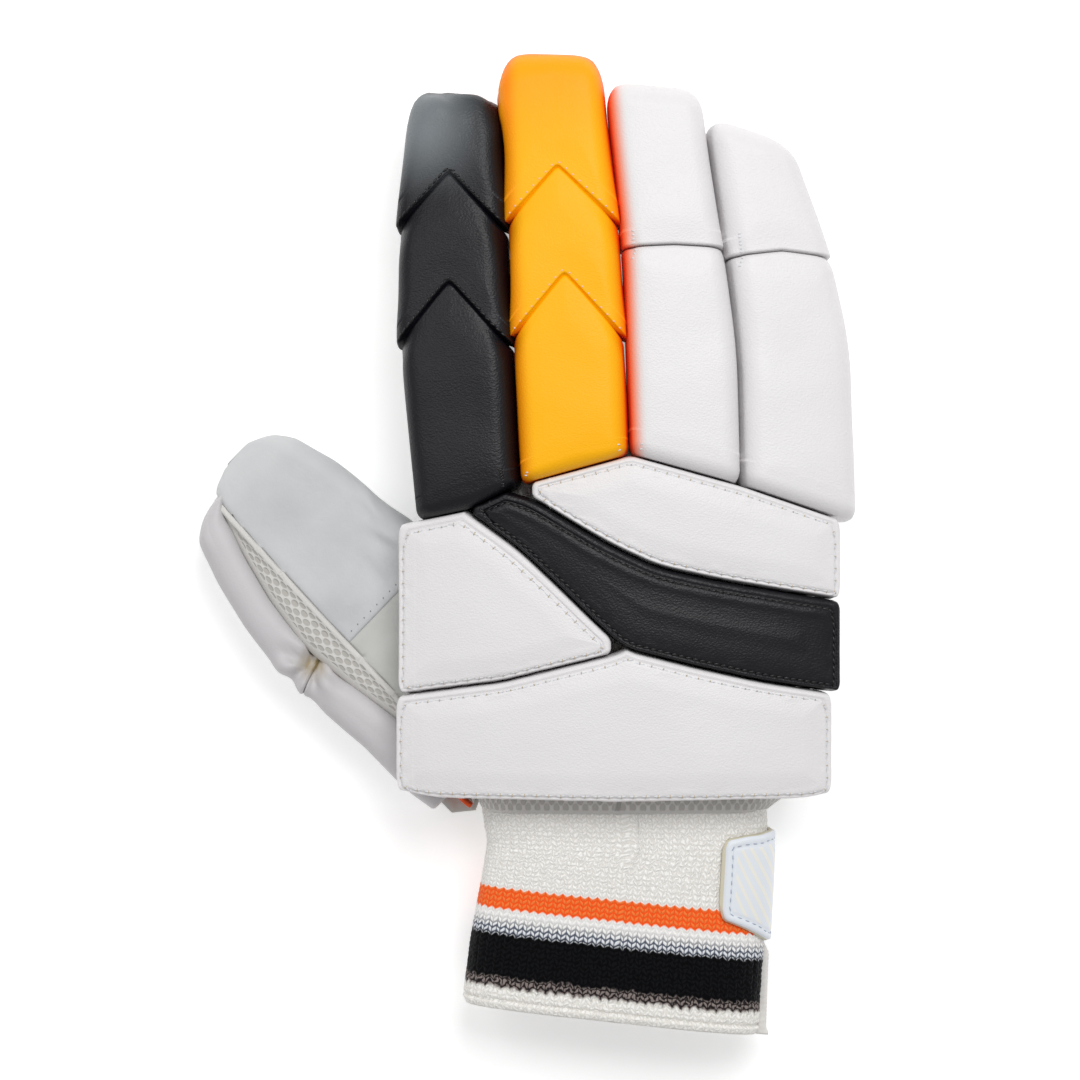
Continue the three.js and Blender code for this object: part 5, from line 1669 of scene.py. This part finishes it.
pale_thread = thread("polyester_thread_white", "#dcdfe4")
beige_thread = thread("polyester_thread_beige", "#c4b59e")
black_thread = thread("polyester_thread_black", "#0a0a0c", 0.35)
rose_thread = thread("polyester_thread_rose", "#f6c6ae")
dark_thread = thread("polyester_thread_grey", "#74777a")
blue_thread = thread("polyester_thread_blue", "#a3aebf")

# %% Seam lines of tab and thumb
tab_turns = np.linspace(.62, -.2, 60)
stitch_share = TAB_STITCH / TAB_LENGTH
down_side = [cuff_point(tab_at(float(tab_from(t)) + stitch_share), t, 2.2) for t in tab_turns]
up_side = [cuff_point(tab_at(float(tab_to(t)) - stitch_share), t, 2.2) for t in tab_turns]
cross = [cuff_point(tab_at(share), .62, 2.2) for share in
         np.linspace(float(tab_from(.62)) + 0.09, float(tab_to(.62)) - 0.09, 20)]
tab_seam = nearest_on(tab.data, down_side[::-1] + cross + up_side)
thumb_seam_line = [thumb_place(thumb_seam + 2.0, t, 0)[:2] for t in np.linspace(-11, 8, 40)]
thumb_thread = drop_on(thumb_shell.data, thumb_seam_line, 0.1)
print("seam of the tab:", len(tab_seam), "points, of the thumb:", len(thumb_thread))

# %% Lay the stitches
SEAMS = [  # name, lines, thread, slot, then spacing, length and width in mm, turn, unevenness
    ("tab_thread", [tab_seam], blue_thread, "tab_white", 2.5, 1.6, 0.4, 0.0, 0.15),
    ("thumb_thread", [thumb_thread], dark_thread, "leather_pale", 2.7, 0.7, 0.45, 0.6, 0.5),
    ("pad_thread", seam_paths["pads"], pale_thread, "pu_white", 3.5, 3.3, 0.42, 0.0, 0.1),
    ("pad_thread_holes", seam_paths["pads"], beige_thread, "pu_white", 3.5, 1.25, 0.5, 1.25,
     0.5),
    ("black_thread_seams", seam_paths["black"], black_thread, "pu_black", 2.1, 2.3, 0.75, 0.18,
     0.1),
    ("corner_thread", seam_paths["corners"], pale_thread, "pu_white", 0.9, 1.3, 0.5, 0.9, 1.6),
    ("corner_thread_black", seam_paths["corners_black"], black_thread, "pu_black", 0.8, 1.9, 0.7,
     0.8, 1.6),
    ("amber_thread_dots", seam_paths["amber"], rose_thread, "pu_amber", 2.6, 0.8, 0.55, 0.0, 0.4)]
for row in SEAMS:
    stitches(*row)

# %% [markdown]
# ## The count of pieces
# The last step prints how many pieces were made.

# %% Count the pieces
print("pieces made:", len(made_pieces))
